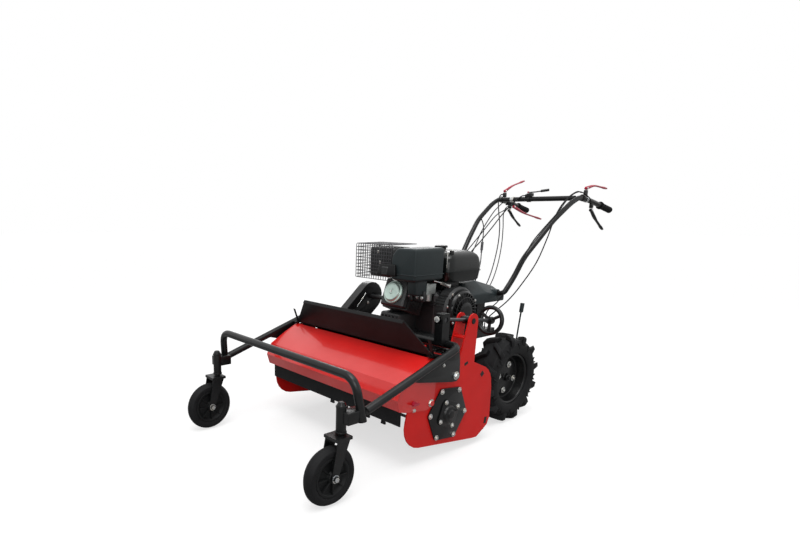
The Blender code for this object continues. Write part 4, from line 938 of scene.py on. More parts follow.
# %% Deck and plates
SOFT_EDGES = (
    (red_paint, {"deck_shell": 0.0010, "front_hood": 0.0010}),
    (plate_red, {"side_plate_left": 0.0010, "side_plate_right": 0.0010}),
    (shield_paint, {"deck_shield": 0.0010}),
    (black_rubber, {"front_curtain": 0.0008, "rear_curtain": 0.0008, "drive_belt": 0.0008}),
    (black_paint, {"main_frame": 0.0014, "rotor": 0.0008}),
    (black_casting, {"gearbox": 0.0025, "engine_pulley": 0.0008}),
    (lever_red, {"hood_latch": 0.0012, "stop_button": 0.0008}),
    (grey_plastic, {"gear_lever": 0.0010}),
    (bright_casting, {"carburettor": 0.0015}),
    (dark_steel, {f"flail_row_{row}": 0.0008 for row in (1, 2, 3)}),
)
for finish, widths in SOFT_EDGES:
    softened(finish, widths)
print("plates done")

# %% [markdown]
# The folded tabs of the roof come through slots in the side plates and are welded there. Thin black sheets on
# the plates paint the shade in those slots as small dark marks. The shield's foot ends in ears that close the
# corners beside the plates.

# %% Painted slot shade at the tabs, and ears
# Black sheets that paint the shade of the tab slots: y, z, slope in degrees, length and height.
TAB_SLOT_SHADE_PLACES = [(-0.504, 0.4025, 20, 0.024, 0.013), (-0.3805, 0.3344, 40, 0.022, 0.021),
              (-0.327, 0.102, 82, 0.031, 0.018)]
SHIELD_HEEL = [(-0.700, 0.464), (-0.640, 0.455), (-0.612, 0.4255), (-0.580, 0.4255)]
SHIELD_EAR = [(-0.758, 0.540), (-0.732, 0.474), (-0.700, 0.464)]
SHIELD_FOOT = [(-0.752, 0.4668), (-0.700, 0.4658)]
SHIELD_STRIPS = ((SHIELD_HEEL, 0.424, 0.4425, 0.003), (SHIELD_EAR, 0.440, 0.458, 0.003),
                 (SHIELD_FOOT, 0.436, 0.458, 0.007))


def folded(line, x0, x1, thick):
    """A sheet strip between two x values that follows a (y, z) line."""
    above = [(y - thick * 0.3, z + thick) for y, z in reversed(line)]
    return plate(line + above, x0, x1, edge=0.0004)


# Thin black sheets laid on the side plates paint the shade inside the slots where the roof tabs come through.
tab_slot_shades, ears = [], []
for side, _ in SIDES:
    tab_slot_shades += [slab((0.0016, long, high), at(side * PLATE_FACE, y, z), 0.0005, 1, lean(slope))
             for y, z, slope, long, high in TAB_SLOT_SHADE_PLACES]
    ears += [folded(line, side * x0, side * x1, thick) for line, x0, x1, thick in SHIELD_STRIPS]
    ears.append(slab((0.0180, 0.014, 0.0155), at(side * 0.4510, -0.597, 0.42825), 0.0008, 1))
deliver("roof_tab_slot_shades", tab_slot_shades, black_paint, body="root")
deliver("shield_ears", ears, shield_paint, body="root")
print(len(tab_slot_shades), "tab_slot_shades")

# %% [markdown]
# On the left plate a six-sided cover closes the hole that the rotor goes in through, and a four-bolt flange
# bearing sits on it. The cover, the cast flange and the round boss are one black piece, the bolts another.

# %% Bearing cover
ROTOR = (-0.6156, 0.2009)
COVER_TOP = PLATE_FACE + 0.006
FLANGE_TOP = COVER_TOP + 0.007
COVER_ANGLES = [114, 54, -6, -66, -126, 174]
FLANGE_ANGLES = (23, 113, 203, 293)
BOSS = [(0, 0.021), (0.017, 0.021), (0.020, 0.017), (0.034, 0.015), (0.040, 0.004), (0.044, 0.0), (0, 0.0)]


def bearing_cover():
    sheet = plate(polygon(ROTOR, 0.1305, COVER_ANGLES, 0.010, 4), PLATE_FACE, COVER_TOP)
    flange = plate(polygon(ROTOR, 0.082, FLANGE_ANGLES, 0.030, 8), COVER_TOP, FLANGE_TOP, edge=0.0015)
    boss = lathe(BOSS, at(COVER_TOP, *ROTOR), ACROSS, 64, 0.0012)
    nipple = bar(0.0028, at(COVER_TOP + 0.013, ROTOR[0] + 0.030, ROTOR[1] + 0.012),
                 at(COVER_TOP + 0.022, ROTOR[0] + 0.034, ROTOR[1] + 0.016), 12)
    return joined(sheet, flange, boss, nipple)


deliver("rotor_cover", bearing_cover(), black_paint, "bearing_cover_left")
cover_places = [(COVER_TOP, *polar(ROTOR, 0.116, a)) for a in COVER_ANGLES]
flange_places = [(FLANGE_TOP, *polar(ROTOR, 0.061, a)) for a in FLANGE_ANGLES]
cover_bolts = bolts(cover_places, ACROSS, 0.0082, 0.0072, 1.45)
cover_bolts += bolts(flange_places, ACROSS, 0.0078, 0.0068, 1.35)
cover_bolts += [bolt(at(s * PLATE_FACE, -0.832, 0.262), ACROSS * s, 0.0085, 0.0080, 1.2) for s, _ in SIDES]
deliver("cover_bolts", cover_bolts, zinc_plate, body="root")
hood_bolts = [bolt(at(s * 0.4528, -0.729, 0.272), ACROSS * s, 0.0125, 0.0078, 1.3) for s, _ in SIDES]
deliver("hood_bolts", hood_bolts, zinc_plate, body=BODY_OF["front_hood"])
print("bearing cover done")

# %% [markdown]
# On the right a pressed cover keeps fingers off the belt. A flat plate closes its inner side and is pierced
# for the two shafts, and a ribbed housing carries the engine's shaft on the way to it. The plate's outline
# is two arcs joined by straight lines, as a belt lies round its pulleys.

# %% Belt cover
CRANK = (-0.180, 0.557)
BELT_INNER = -0.4564
HOUSING = [(0.018, 0.0), (0.086, 0.0), (0.090, 0.006), (0.082, 0.034), (0.060, 0.050), (0.042, 0.110),
           (0.018, 0.112)]


def belt_outline():
    """Two arcs, round the crank and round the rotor, joined by straight lines."""
    (y0, z0), (y1, z1) = CRANK, ROTOR
    along = math.degrees(math.atan2(z1 - z0, y1 - y0))
    return arc(CRANK, 0.0825, along - 270, along - 90, 28) + arc(ROTOR, 0.0765, along - 90, along + 90, 28)


def shaft_hole(centre, radius):
    return arc(centre, radius, 0, 345, 23)


softened(black_paint, {"belt_cover": 0.0010})
shaft_holes = [shaft_hole(CRANK, 0.021), shaft_hole(ROTOR, 0.033)]
inner_plate = plate(belt_outline(), BELT_INNER - 0.002, BELT_INNER, shaft_holes)
deliver("belt_inner_plate", inner_plate, shield_paint, body="root")
housing_rib = slab((0.070, 0.005, 0.030), Vector((-0.035, 0, 0.055)), 0.0015, 2)
shaft_housing = [lathe(HOUSING, at(-0.141, *CRANK), -ACROSS, 72, 0.004)]
shaft_housing += spread(housing_rib, at(-0.150, *CRANK), 8)
deliver("shaft_housing", shaft_housing, black_casting, body="root")
belt_bolt = bolt(at(-0.483, -0.303, 0.5475), Vector((0, -0.75, 0.66)).normalized(), 0.0085, 0.006, 1.3)
belt_rod = bar(0.0018, at(-0.4537, -0.300, 0.504), at(-0.4537, -0.232, 0.580), 16)
inner_bolt = bolt(at(BELT_INNER, -0.211, 0.522), ACROSS, 0.0068, 0.006, 1.3)
deliver("belt_cover_bolts", [belt_bolt, belt_rod, inner_bolt], zinc_plate, body="root")
print("belt cover done")

# %% [markdown]
# Engine next. The block keeps its plain solid with rounded edges, but the air-cooled barrel needs its many
# thin fins. The round valve cover is turned, with the rings that the press left in it, and held by a screw.

# %% Engine
CYLINDER_LEAN = 20
CYLINDER_X = -0.055
FINS = 11
ROCKER_AT = 0.2655
ROCKER = [(0, 0.0205), (0.010, 0.0205), (0.014, 0.0185), (0.036, 0.0185), (0.041, 0.0205), (0.046, 0.0180),
          (0.049, 0.0100), (0.057, 0.0085), (0.0588, 0.0), (0, 0.0)]


def cylinder_point(along):
    """A point on the cylinder's axis, which leans up and forward."""
    return at(CYLINDER_X, *polar(CRANK, along, 180 - CYLINDER_LEAN))


def barrel_fins():
    fins = []
    for i in range(FINS):
        narrow = 0.004 * abs(i - FINS // 2) / FINS
        size = (0.168 - narrow, 0.0026, 0.154 - narrow)
        fins.append(slab(size, cylinder_point(0.128 + 0.0100 * i), 0.0009, 1, lean(-CYLINDER_LEAN)))
    return fins


softened(black_casting, {"engine_block": 0.0030})
deliver("barrel_fins", barrel_fins(), black_casting, body="root")
cylinder_axis = (cylinder_point(1) - cylinder_point(0)).normalized()
rocker_cover = lathe(ROCKER, cylinder_point(ROCKER_AT), cylinder_axis, 96, 0.0014)
deliver("rocker_cover", rocker_cover, pale_alloy, "valve_cover")
rocker_screw = bolt(cylinder_point(ROCKER_AT + 0.0195), cylinder_axis, 0.0062, 0.0034, 1.5)
deliver("rocker_cover_screw", rocker_screw, zinc_plate, body="root")
print(FINS, "fins")

# %% [markdown]
# What makes an engine look like one is the clutter on its front: the intake flange with its bolts under the
# air cleaner, the speed linkage, the louvres that let cooling air out of the fan housing and the shroud over
# the spark plug. They are small, so plain bars, slabs and bolts are enough. A ribbed flank of the crankcase
# closes the side below them.

# %% Engine details
FAN_R = 0.118
SHROUD = ((-0.098, 0.002, -0.494, -0.466, 0.792), (-0.116, 0.010, -0.500, -0.462, 0.736))


def louvres():
    """Slats that follow the round front of the fan housing."""
    slats = []
    for i in range(6):
        z = 0.588 + 0.0125 * i
        y = CRANK[0] - math.sqrt(FAN_R ** 2 - (z - CRANK[1]) ** 2)
        slats.append(slab((0.088, 0.012, 0.0042), at(0.110, y, z), 0.0014, 2, lean(-24)))
    return slats


def plug_shroud():
    """A tapered boot, wider below, on a foot."""
    rings = [[at(x0, y0, z), at(x1, y0, z), at(x1, y1, z), at(x0, y1, z)] for x0, x1, y0, y1, z in SHROUD]
    return [loft(rings, 0.006, 3), slab((0.040, 0.050, 0.016), at(-0.050, -0.452, 0.742), 0.004)]


deliver("plug_shroud", plug_shroud(), shield_paint, body="root")
crankcase = [slab((0.130, 0.290, 0.112), at(-0.080, -0.285, 0.486), 0.014, 4),
             slab((0.150, 0.300, 0.016), at(-0.080, -0.285, 0.437), 0.004)]
crankcase += [slab((0.008, 0.016, 0.088), at(-0.128 + 0.024 * i, -0.432, 0.484), 0.003) for i in range(5)]
deliver("crankcase_flank", crankcase, black_casting, body="root")
intake_flange = [slab((0.084, 0.020, 0.052), at(0.066, -0.384, 0.640), 0.004),
                 slab((0.050, 0.030, 0.030), at(0.020, -0.392, 0.628), 0.006)]
deliver("intake_flange", intake_flange, black_casting, body="root")
deliver("fan_louvres", louvres(), black_casting, body="root")
front_places = [(0.025, -0.407, 0.638), (0.072, -0.394, 0.655), (0.068, -0.394, 0.634),
                (0.096, -0.394, 0.632)]
earth_way = (ACROSS * 0.3 - ALONG).normalized()
small_parts = bolts(front_places, -ALONG, 0.0062, 0.0055, 1.35)
small_parts += bolts([(0.1662, -0.283, 0.588), (0.1662, -0.250, 0.645)], ACROSS, 0.0058, 0.0050, 1.3)
small_parts += [slab((0.058, 0.010, 0.013), at(0.156, -0.298, 0.697), 0.002, 2, lean(13, "Y")),
                bar(0.0022, at(0.118, -0.338, 0.714), at(0.138, -0.300, 0.703), 12),
                slab((0.008, 0.050, 0.005), at(0.150, -0.275, 0.692), 0.0015, 2),
                lathe(ring_of(0.013, 0.0026, 8), at(-0.007, -0.474, 0.727), earth_way, 28, 0)]
deliver("engine_bolts", small_parts, zinc_plate, body="root")
print("engine details done")

# %% [markdown]
# The recoil starter has a pressed cover with two rings of narrow curved slots. Cutting the slots with a
# Boolean is possible, but it is easier to build what stays between them: a rim, a hub and two rings of
# curved ribs over a dark hollow.

# %% Recoil cover
RECOIL_X = 0.166
RECOIL_R = 0.104
RECOIL_RIBS = 26
RECOIL_DEPTH = 0.0395
RECOIL_SHELL = [(0.0915, 0.0240), (0.096, 0.0225), (0.1035, 0.012), (RECOIL_R, 0.0), (0.1015, 0.0),
                (0.101, 0.010), (0.094, 0.0195), (0.0915, 0.0210)]
RECOIL_STEP = [(0.070, 0.0330), (0.074, 0.0320), (0.074, 0.0290), (0.070, 0.0300)]
RECOIL_HUB = [(0, 0.0395), (0.030, 0.0395), (0.044, 0.0375), (0.049, 0.0335), (0, 0.0305)]
RECOIL_BACK = [(0, 0.008), (0.098, 0.006), (0.098, 0.003), (0, 0.003)]


def curved_rib(r0, r1, swing, ahead):
    """A rib that follows the dome outward while it swings round."""
    line = []
    for step in range(5):
        r, a = r0 + (r1 - r0) * step / 4, swing * (step / 4 + ahead)
        dome = RECOIL_DEPTH - 0.0050 - 0.30 * (r - 0.046) ** 1.2
        line.append(Vector((dome, r * math.sin(a), r * math.cos(a))))
    return tube(line, 0.0021, 8)


def recoil_cover():
    """A pressed dome whose wall is cut into curved ribs, over a dark back."""
    centre = at(RECOIL_X, *CRANK)
    parts = [lathe(profile, centre, ACROSS, steps, edge) for profile, steps, edge in
             ((RECOIL_SHELL, 96, 0.001), (RECOIL_STEP, 96, 0.0006), (RECOIL_HUB, 72, 0.0012),
              (RECOIL_BACK, 48, 0.0005))]
    for rib in (curved_rib(0.046, 0.071, 0.16, 0.0), curved_rib(0.073, 0.093, 0.12, 1.0)):
        parts += spread(rib, centre, RECOIL_RIBS)
    return parts


deliver("recoil_grille", recoil_cover(), black_paint, "recoil_cover")
recoil_places = [(RECOIL_X + 0.022, *polar(CRANK, 0.0965, a)) for a in (30, 120, 210, 300)]
deliver("recoil_bolts", bolts(recoil_places, ACROSS, 0.0052, 0.005, 1.4), zinc_plate, body="root")
pull_at = at(RECOIL_X + 0.030, CRANK[0] - RECOIL_R - 0.0155, CRANK[1] + 0.045)
pull_bar = tube([pull_at + Vector((0, -0.006, z)) for z in (-0.030, -0.015, 0, 0.015, 0.030)], 0.0078, 20)
pull_stem = bar(0.005, pull_at - ALONG * 0.002, pull_at + ALONG * 0.014, 20)
deliver("starter_pull", [pull_bar, pull_stem], black_rubber, "starter_handle")
print("recoil done")

# %% [markdown]
# The tank is two pressed halves joined by a flange all round. It is lofted: the same rounded rectangle is
# stacked at rising heights, drawn in a little more each time, which gives the domed top and the thin seam.
# The cap has grip flutes round its edge.

# %% Tank and cap
# Each rectangle of the tank: how far it is drawn in and its height.
TANK_RINGS = [(0.030, 0.6945), (0.014, 0.6970), (0.008, 0.7060), (0.004, 0.7440), (0.003, 0.7465),
              (0.000, 0.7470), (0.000, 0.7505), (0.003, 0.7510), (0.005, 0.7900), (0.009, 0.8120),
              (0.016, 0.8260), (0.028, 0.8370), (0.045, 0.8445), (0.064, 0.8480)]
TANK_CORNER = 0.046
CAP_AT = at(0.0, -0.150, 0.8623)
CAP_FLUTES = 24
CAP_PROFILE = [(0, 0.0125), (0.022, 0.0125), (0.029, 0.0110), (0.0320, 0.008), (0.0322, 0.0), (0, 0.0)]
TANK_BOLT = at(0.104, -0.196, 0.8525)


def tank():
    low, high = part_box("fuel_tank")
    rings = []
    for inset, z in TANK_RINGS:
        x0, x1, y0, y1 = low.x + inset, high.x - inset, low.y + 0.004 + inset, high.y - 0.004 - inset
        outline = rounded([(x0, y0), (x1, y0), (x1, y1), (x0, y1)], TANK_CORNER, 8, closed=True)
        rings.append([(*p, z) for p in outline])
    return loft(rings)


def cap():
    parts = [lathe(CAP_PROFILE, CAP_AT, UP, 64, 0.002)]
    for i in range(CAP_FLUTES):
        a = 2 * math.pi * i / CAP_FLUTES
        foot = CAP_AT + Vector((math.cos(a), math.sin(a), 0)) * 0.0316 + UP * 0.0006
        parts.append(bar(0.0013, foot, foot + UP * 0.0080, 8, 0.0003))
    return parts


deliver("tank_shell", tank(), tank_black, "fuel_tank")
tank_foot = [slab((0.180, 0.140, 0.047), at(-0.030, -0.130, 0.6738), 0.006),
             bar(0.026, at(0.0, -0.150, 0.850), at(0.0, -0.150, 0.862), 40, 0.001),
             bar(0.011, at(0.104, -0.196, 0.815), TANK_BOLT, 24, 0.001)]
deliver("tank_foot", tank_foot, black_paint, body="root")
# A thin zinc rod at the tank's front corner is a painted highlight along that corner; the bolt on top is a
# real bolt.
tank_corner_highlight_rod = bar(0.0020, at(0.1265, -0.2575, 0.772), at(0.1265, -0.2575, 0.846), 12)
deliver("tank_bolt_and_highlight_rod", [bolt(TANK_BOLT, UP, 0.0075, 0.005, 1.3), tank_corner_highlight_rod], zinc_plate, body="root")
deliver("filler_cap", cap(), tank_black, "fuel_cap")
print("tank done")

# %% [markdown]
# The air cleaner is a tall moulded box with a lid that overlaps its base, and a chamfer on its front inner
# corner.

# %% Air cleaner
AIR_LOW, AIR_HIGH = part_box("air_cleaner")
AIR_FLOOR = 0.716
AIR_INSET = 0.002


def air_cleaner():
    x0, x1 = AIR_LOW.x + AIR_INSET, AIR_HIGH.x - AIR_INSET
    y0, y1 = AIR_LOW.y + AIR_INSET, AIR_HIGH.y - AIR_INSET
    top = AIR_HIGH.z
    outline = [(x0, AIR_FLOOR), (x1, AIR_FLOOR), (x1, top), (x0 + 0.034, top), (x0, top - 0.038)]
    bm = bmesh.new()
    face = bm.faces.new([bm.verts.new((x, y0, z)) for x, z in rounded(outline, 0.016, 5, closed=True)])
    extruded = bmesh.ops.extrude_face_region(bm, geom=[face])
    moved = [g for g in extruded["geom"] if isinstance(g, bmesh.types.BMVert)]
    bmesh.ops.translate(bm, verts=moved, vec=(0, y1 - y0, 0))
    bmesh.ops.recalc_face_normals(bm, faces=bm.faces)
    ends = [e for e in bm.edges if len({round(v.co.y, 4) for v in e.verts}) == 1]
    bevelled(bm, ends, 0.012, 5)
    lid_size = (AIR_HIGH.x - AIR_LOW.x - 0.0005, AIR_HIGH.y - AIR_LOW.y - 0.0005, 0.005)
    lid = slab(lid_size, Vector((middle("air_cleaner").x, (y0 + y1) / 2, AIR_FLOOR + 0.030)), 0.002, 2)
    duct = slab((0.060, 0.078, 0.083), at(0.070, -0.400, AIR_FLOOR - 0.030), 0.010, 4)
    return [mesh_from(bm), lid, duct]


deliver("air_box", air_cleaner(), grey_plastic, "air_cleaner", sharp=50)
print("air cleaner done")

# %% [markdown]
# The muffler beside the air cleaner is a pressed can with a rolled seam. A cage of welded wire keeps hands
# off the hot can. It is made as the real one is, from three families of bent wires, each evenly spaced.

# %% Muffler and its cage
MUFFLER_X, MUFFLER_Y, MUFFLER_Z = (-0.238, -0.066), (-0.428, -0.288), (0.716, 0.866)
TAIL = [(0.0095, 0.026), (0.012, 0.026), (0.012, -0.024), (0.0095, -0.024)]
CAGE_PITCH = 0.0168
CAGE_WIRE = 0.0018


def muffler():
    spans = (MUFFLER_X, MUFFLER_Y, MUFFLER_Z)
    size = Vector([b - a for a, b in spans])
    centre = at(*[(a + b) / 2 for a, b in spans])
    tail_at = at(MUFFLER_X[0] - 0.014, -0.360, MUFFLER_Z[1] - 0.035)
    return [slab(size, centre, 0.016, 5),
            slab((size.x + 0.006, 0.004, size.z + 0.006), centre, 0.0018, 2),
            bar(0.014, at(-0.150, -0.330, 0.648), at(-0.150, -0.330, 0.722), 32),
            lathe(TAIL, tail_at, -ACROSS, 32, 0.0005)]


def spaced(low, high):
    """Values from low to high, about one pitch of the cage apart."""
    count = round((high - low) / CAGE_PITCH)
    return [low + (high - low) * i / count for i in range(count + 1)]


def cage():
    """Welded mesh: wires up the front and over the top, wires round the front and the end."""
    edge = CAGE_WIRE + 0.0006
    (x0, x1), (y0, y1), (z0, z1) = [(low + edge, high - edge) for low, high in zip(*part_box("muffler_guard"))]
    wires = [[(x, y0, z0), (x, y0, z1), (x, y1, z1)] for x in spaced(x0, x1)]
    wires += [[(x0, y, z0), (x0, y, z1), (x1, y, z1)] for y in spaced(y0, y1)]
    wires += [[(x1, y0, z), (x0, y0, z), (x0, y1, z)] for z in spaced(z0, z1)]
    return [tube(rounded(wire, 0.008, 3), CAGE_WIRE, 8) for wire in wires]


deliver("muffler_can", muffler(), black_casting, "muffler")
muffler_places = [(x, MUFFLER_Y[0] + 0.0005, z) for x, z in ((-0.176, 0.842), (-0.160, 0.790))]
deliver("muffler_bolts", bolts(muffler_places, -ALONG, 0.0066, 0.005, 1.3), zinc_plate, body="root")
deliver("muffler_cage", cage(), dark_steel, "muffler_guard")
print("muffler done")

# %% [markdown]
# The handlebars are 28 mm tube with three bends on each side. Welded collars and clamps carry the levers,
# and a straight tube ties the two sides together near the top.

# %% Handlebars
BAR_R = 0.0140
BAR_PATH = [at(*p) for p in (
    (0.118, 0.185, 0.612), (0.165, 0.190, 0.614), (0.178, 0.255, 0.700), (0.195, 0.300, 0.800),
    (0.215, 0.380, 0.885), (0.236, 0.490, 0.998), (0.248, 0.640, 1.093), (0.252, 0.715, 1.122),
    (0.257, 0.850, 1.100))]
BAR_END = at(0.2645, 1.067, 1.052)
GRIP_LEN = 0.125
GRIP_RINGS = 22
CROSSBAR = (0.699, 1.1165)
top_way = (BAR_PATH[-1] - BAR_PATH[-2]).normalized()
grip_way = (BAR_END - BAR_PATH[-1]).normalized()


def handle_tube():
    path = rounded(BAR_PATH + [BAR_END - grip_way * 0.004], 0.050, 8)
    return joined(tube(path, BAR_R, 32),
                  collar(0.0185, at(0.2535, 0.745, 1.118), top_way * 0.010, 32, 0.0015),
                  slab((0.017, 0.024, 0.044), at(0.2535, 0.775, 1.140), 0.005),
                  slab((0.017, 0.024, 0.040), at(0.2575, 0.850, 1.082), 0.005))


def grip():
    """A rubber grip with raised rings and a thick inner end."""
    profile = [(0, GRIP_LEN)]
    for i in range(GRIP_RINGS + 1):
        h = GRIP_LEN - 0.002 - (GRIP_LEN - 0.012) * i / GRIP_RINGS
        profile += [(0.0180, h), (0.0168, h - 0.0022)]
    profile += [(0.0220, 0.0075), (0.0222, 0.0), (0.0145, 0.0), (0.0145, 0.004), (0, 0.004)]
    return lathe(profile, BAR_END - grip_way * GRIP_LEN, grip_way, 40, 0)


def on_crossbar(x, above=0.0):
    return at(x, CROSSBAR[0], CROSSBAR[1] + above)


def crossbar():
    reach = 0.2505 - BAR_R - 0.0015
    throttle_ring = [(0.0062, 0), (0.0086, 0), (0.0082, 0.0055), (0.0062, 0.0055)]
    return [bar(BAR_R, on_crossbar(-reach), on_crossbar(reach), 40),
            bar(0.0175, on_crossbar(-0.050), on_crossbar(-0.030), 32, 0.001),
            slab((0.024, 0.030, 0.025), on_crossbar(-0.0315, 0.0220)),
            slab((0.018, 0.030, 0.019), on_crossbar(-0.0520, 0.0190)),
            lathe(throttle_ring, on_crossbar(-0.050, 0.0280), UP, 28, 0)]


handle = handle_tube()
inner_perch = slab((0.056, 0.024, 0.020), at(-0.232, 0.812, 1.094), 0.004)
deliver("handle_left", handle, black_paint, "handle_tube_left")
deliver("handle_right", [other_side(handle), inner_perch], black_paint, "handle_tube_right")
pair("rubber_grip", grip(), black_rubber, "grip")
deliver("cross_bar", crossbar(), black_paint, "crossbar")
near_clamp = collar(0.0172, at(0.2546, 0.784, 1.1108), top_way * 0.007, 36)
cross_clamp = bar(0.0164, on_crossbar(-0.159), on_crossbar(-0.137), 36, 0.0012)
cross_bolt = bolt(on_crossbar(-0.018, BAR_R - 0.001), UP, 0.0052, 0.0045, 1.3)
deliver("bar_clamps", [near_clamp, other_side(near_clamp), cross_clamp, cross_bolt], zinc_plate,
        body=BODY_OF["handle_tube_left"])
print("handlebars done")

# %% [markdown]
# The console between the handlebars is a moulded hood that slopes down to the rear, narrow along its ridge
# and wide at its foot. Three sections, one behind the other, describe it.

# %% Console
# Each section: y, height of the shoulder and height of the ridge.
CONSOLE_SECTIONS = [(-0.044, 0.620, 0.671), (0.080, 0.622, 0.682), (0.249, 0.600, 0.639)]
CONSOLE_WIDE, CONSOLE_RIDGE, CONSOLE_FOOT = 0.1335, 0.054, 0.5665
SOCKET = (0.185, 0.613)


def console():
    """Sections of six corners, joined one to the next and rounded."""
    rings = []
    for y, shoulder, ridge in CONSOLE_SECTIONS:
        corners = [(-CONSOLE_WIDE, CONSOLE_FOOT), (CONSOLE_WIDE, CONSOLE_FOOT), (CONSOLE_WIDE, shoulder),
                   (CONSOLE_RIDGE, ridge), (-CONSOLE_RIDGE, ridge), (-CONSOLE_WIDE, shoulder)]
        rings.append([at(x, y, z) for x, z in corners])
    return loft(rings, 0.007, 4)


sockets = [bar(0.020, at(side * 0.092, *SOCKET), at(side * 0.1345, *SOCKET), 36, 0.002) for side, _ in SIDES]
deliver("console_cover", [console(), *sockets], grey_plastic, "rear_console")
print("console done")

# %% [markdown]
# The levers are cast or moulded blades: wide where the fingers lie, thin in depth, with a ball at the end
# and an eye round the pivot. Lofting an oval along a bent line gives that shape in one go. The throttle on
# the crossbar is a smaller one, a bent arm with a knob.

# %% Levers
OVAL_SIDES = 14
# Each lever: its node, pivot, tip, sag between the two, finish and how bulky its width is.
LEVERS = (
    ("brake_lever_left", (0.2535, 0.777, 1.172), (0.256, 1.010, 1.176), 0.016, lever_red, 1.15),
    ("brake_lever_right", (-0.2535, 0.777, 1.172), (-0.256, 0.985, 1.240), 0.010, lever_red, 1.15),
    ("clutch_lever_left", (0.2590, 0.850, 1.052), (0.262, 1.010, 0.940), -0.008, black_paint, 1.4),
    ("clutch_lever_right", (-0.2590, 0.850, 1.052), (-0.262, 0.995, 0.950), -0.008, black_paint, 1.4),
    ("drive_lever", (-0.205, 0.812, 1.074), (-0.190, 1.120, 0.996), -0.012, lever_red, 1.15),
)


def blade(points, wides, deeps):
    """An oval section lofted along a line; wide is across the machine."""
    rings = []
    last = len(points) - 1
    for i, (point, wide, deep) in enumerate(zip(points, wides, deeps)):
        way = (points[min(i + 1, last)] - points[max(i - 1, 0)]).normalized()
        lift = ACROSS.cross(way).normalized()
        angles = [2 * math.pi * j / OVAL_SIDES for j in range(OVAL_SIDES)]
        rings.append([point + ACROSS * (wide * math.cos(a)) + lift * (deep * math.sin(a)) for a in angles])
    return loft(rings)


def hand_lever(pivot, tip, sag, bulk):
    way = (tip - pivot).normalized()
    elbow = pivot + way * (tip - pivot).length * 0.35 + ACROSS.cross(way).normalized() * sag
    line = flow(rounded([pivot, elbow, tip], 0.05, 4), 4)
    wides, deeps = [], []
    for i in range(len(line)):
        t = i / (len(line) - 1)
        ball = max(0.0, 1 - ((t - 0.965) / 0.035) ** 2) if t > 0.93 else 0.0
        wides.append(bulk * (0.0058 + 0.0018 * math.sin(math.pi * min(1, t * 1.2)) + 0.0015 * ball))
        deeps.append(0.0048 + 0.0050 * (1 - t) ** 2.5 + 0.0022 * ball)
    return [blade(line, wides, deeps), collar(0.0085, pivot, ACROSS * 0.008, 28, 0.001)]


for node, pivot, tip, sag, finish, bulk in LEVERS:
    deliver(node + "_blade", hand_lever(at(*pivot), at(*tip), sag, bulk), finish, node)
    heads = [bolt(at(*pivot) + ACROSS * (s * 0.008), ACROSS * s, 0.0048, 0.003, 1.3) for s in (1, -1)]
    deliver(node + "_pivot", heads, zinc_plate, body=BODY_OF["handle_tube_left"])
throttle_at = at(-0.034, CROSSBAR[0], 1.1521)
ARM_STEPS = ((0, 0, 0.0038), (0.024, 0.020, 0.0062), (0.050, 0.043, 0.0118))
KNOB_STEPS = ((0.042, 0.036, 0.0108), (0.0770, 0.0665, 0.0170))
arm_line = [throttle_at + Vector(step) for step in ARM_STEPS]
knob = [throttle_at + Vector(step) for step in KNOB_STEPS]
throttle = [bar(0.0108, throttle_at, throttle_at + UP * 0.0065, 32, 0.0012), tube(arm_line, 0.0036, 12),
            bar(0.0076, *knob, 24, 0.0028)]
deliver("throttle_arm", throttle, black_paint, "throttle_lever")
print(len(LEVERS), "levers")

# %% [markdown]
# The control cables run in black sleeves. They are held all the way, by the levers above and the frame below,
# and hang in slack bows between. The routes are listed points, with a smooth curve through them.

# %% Cables
CABLE_R = 0.0032
FRAME_CAP = 0.4203
ROUTES = {
    "cable_left_brake": [
        (0.246, 0.742, 1.1480), (0.236, 0.700, 1.150), (0.226, 0.620, 1.108), (0.222, 0.540, 1.030),
        (0.222, 0.470, 0.900), (0.218, 0.390, 0.770), (0.206, 0.280, 0.655), (0.190, 0.200, 0.580),
        (0.160, 0.130, 0.520), (0.112, 0.092, 0.455), (0.112, 0.092, 0.438), (0.112, 0.092, FRAME_CAP)],
    "cable_right_brake": [
        (-0.242, 0.742, 1.150), (-0.232, 0.700, 1.146), (-0.222, 0.664, 1.115), (-0.214, 0.662, 1.050),
        (-0.202, 0.668, 0.960), (-0.190, 0.650, 0.850), (-0.172, 0.590, 0.720), (-0.145, 0.500, 0.620),
        (-0.115, 0.380, 0.540), (-0.098, 0.250, 0.480), (-0.095, 0.180, 0.450), (-0.095, 0.180, 0.436),
        (-0.095, 0.180, FRAME_CAP)],
    "cable_throttle": [
        (-0.066, 0.699, 1.139), (-0.090, 0.690, 1.132), (-0.110, 0.640, 1.090), (-0.106, 0.540, 1.030),
        (-0.080, 0.400, 0.950), (-0.050, 0.260, 0.880), (-0.020, 0.130, 0.820), (0.000, 0.085, 0.760),
        (0.006, 0.052, 0.705), (0.012, 0.010, 0.6888), (0.015, -0.0590, 0.6885)],
}
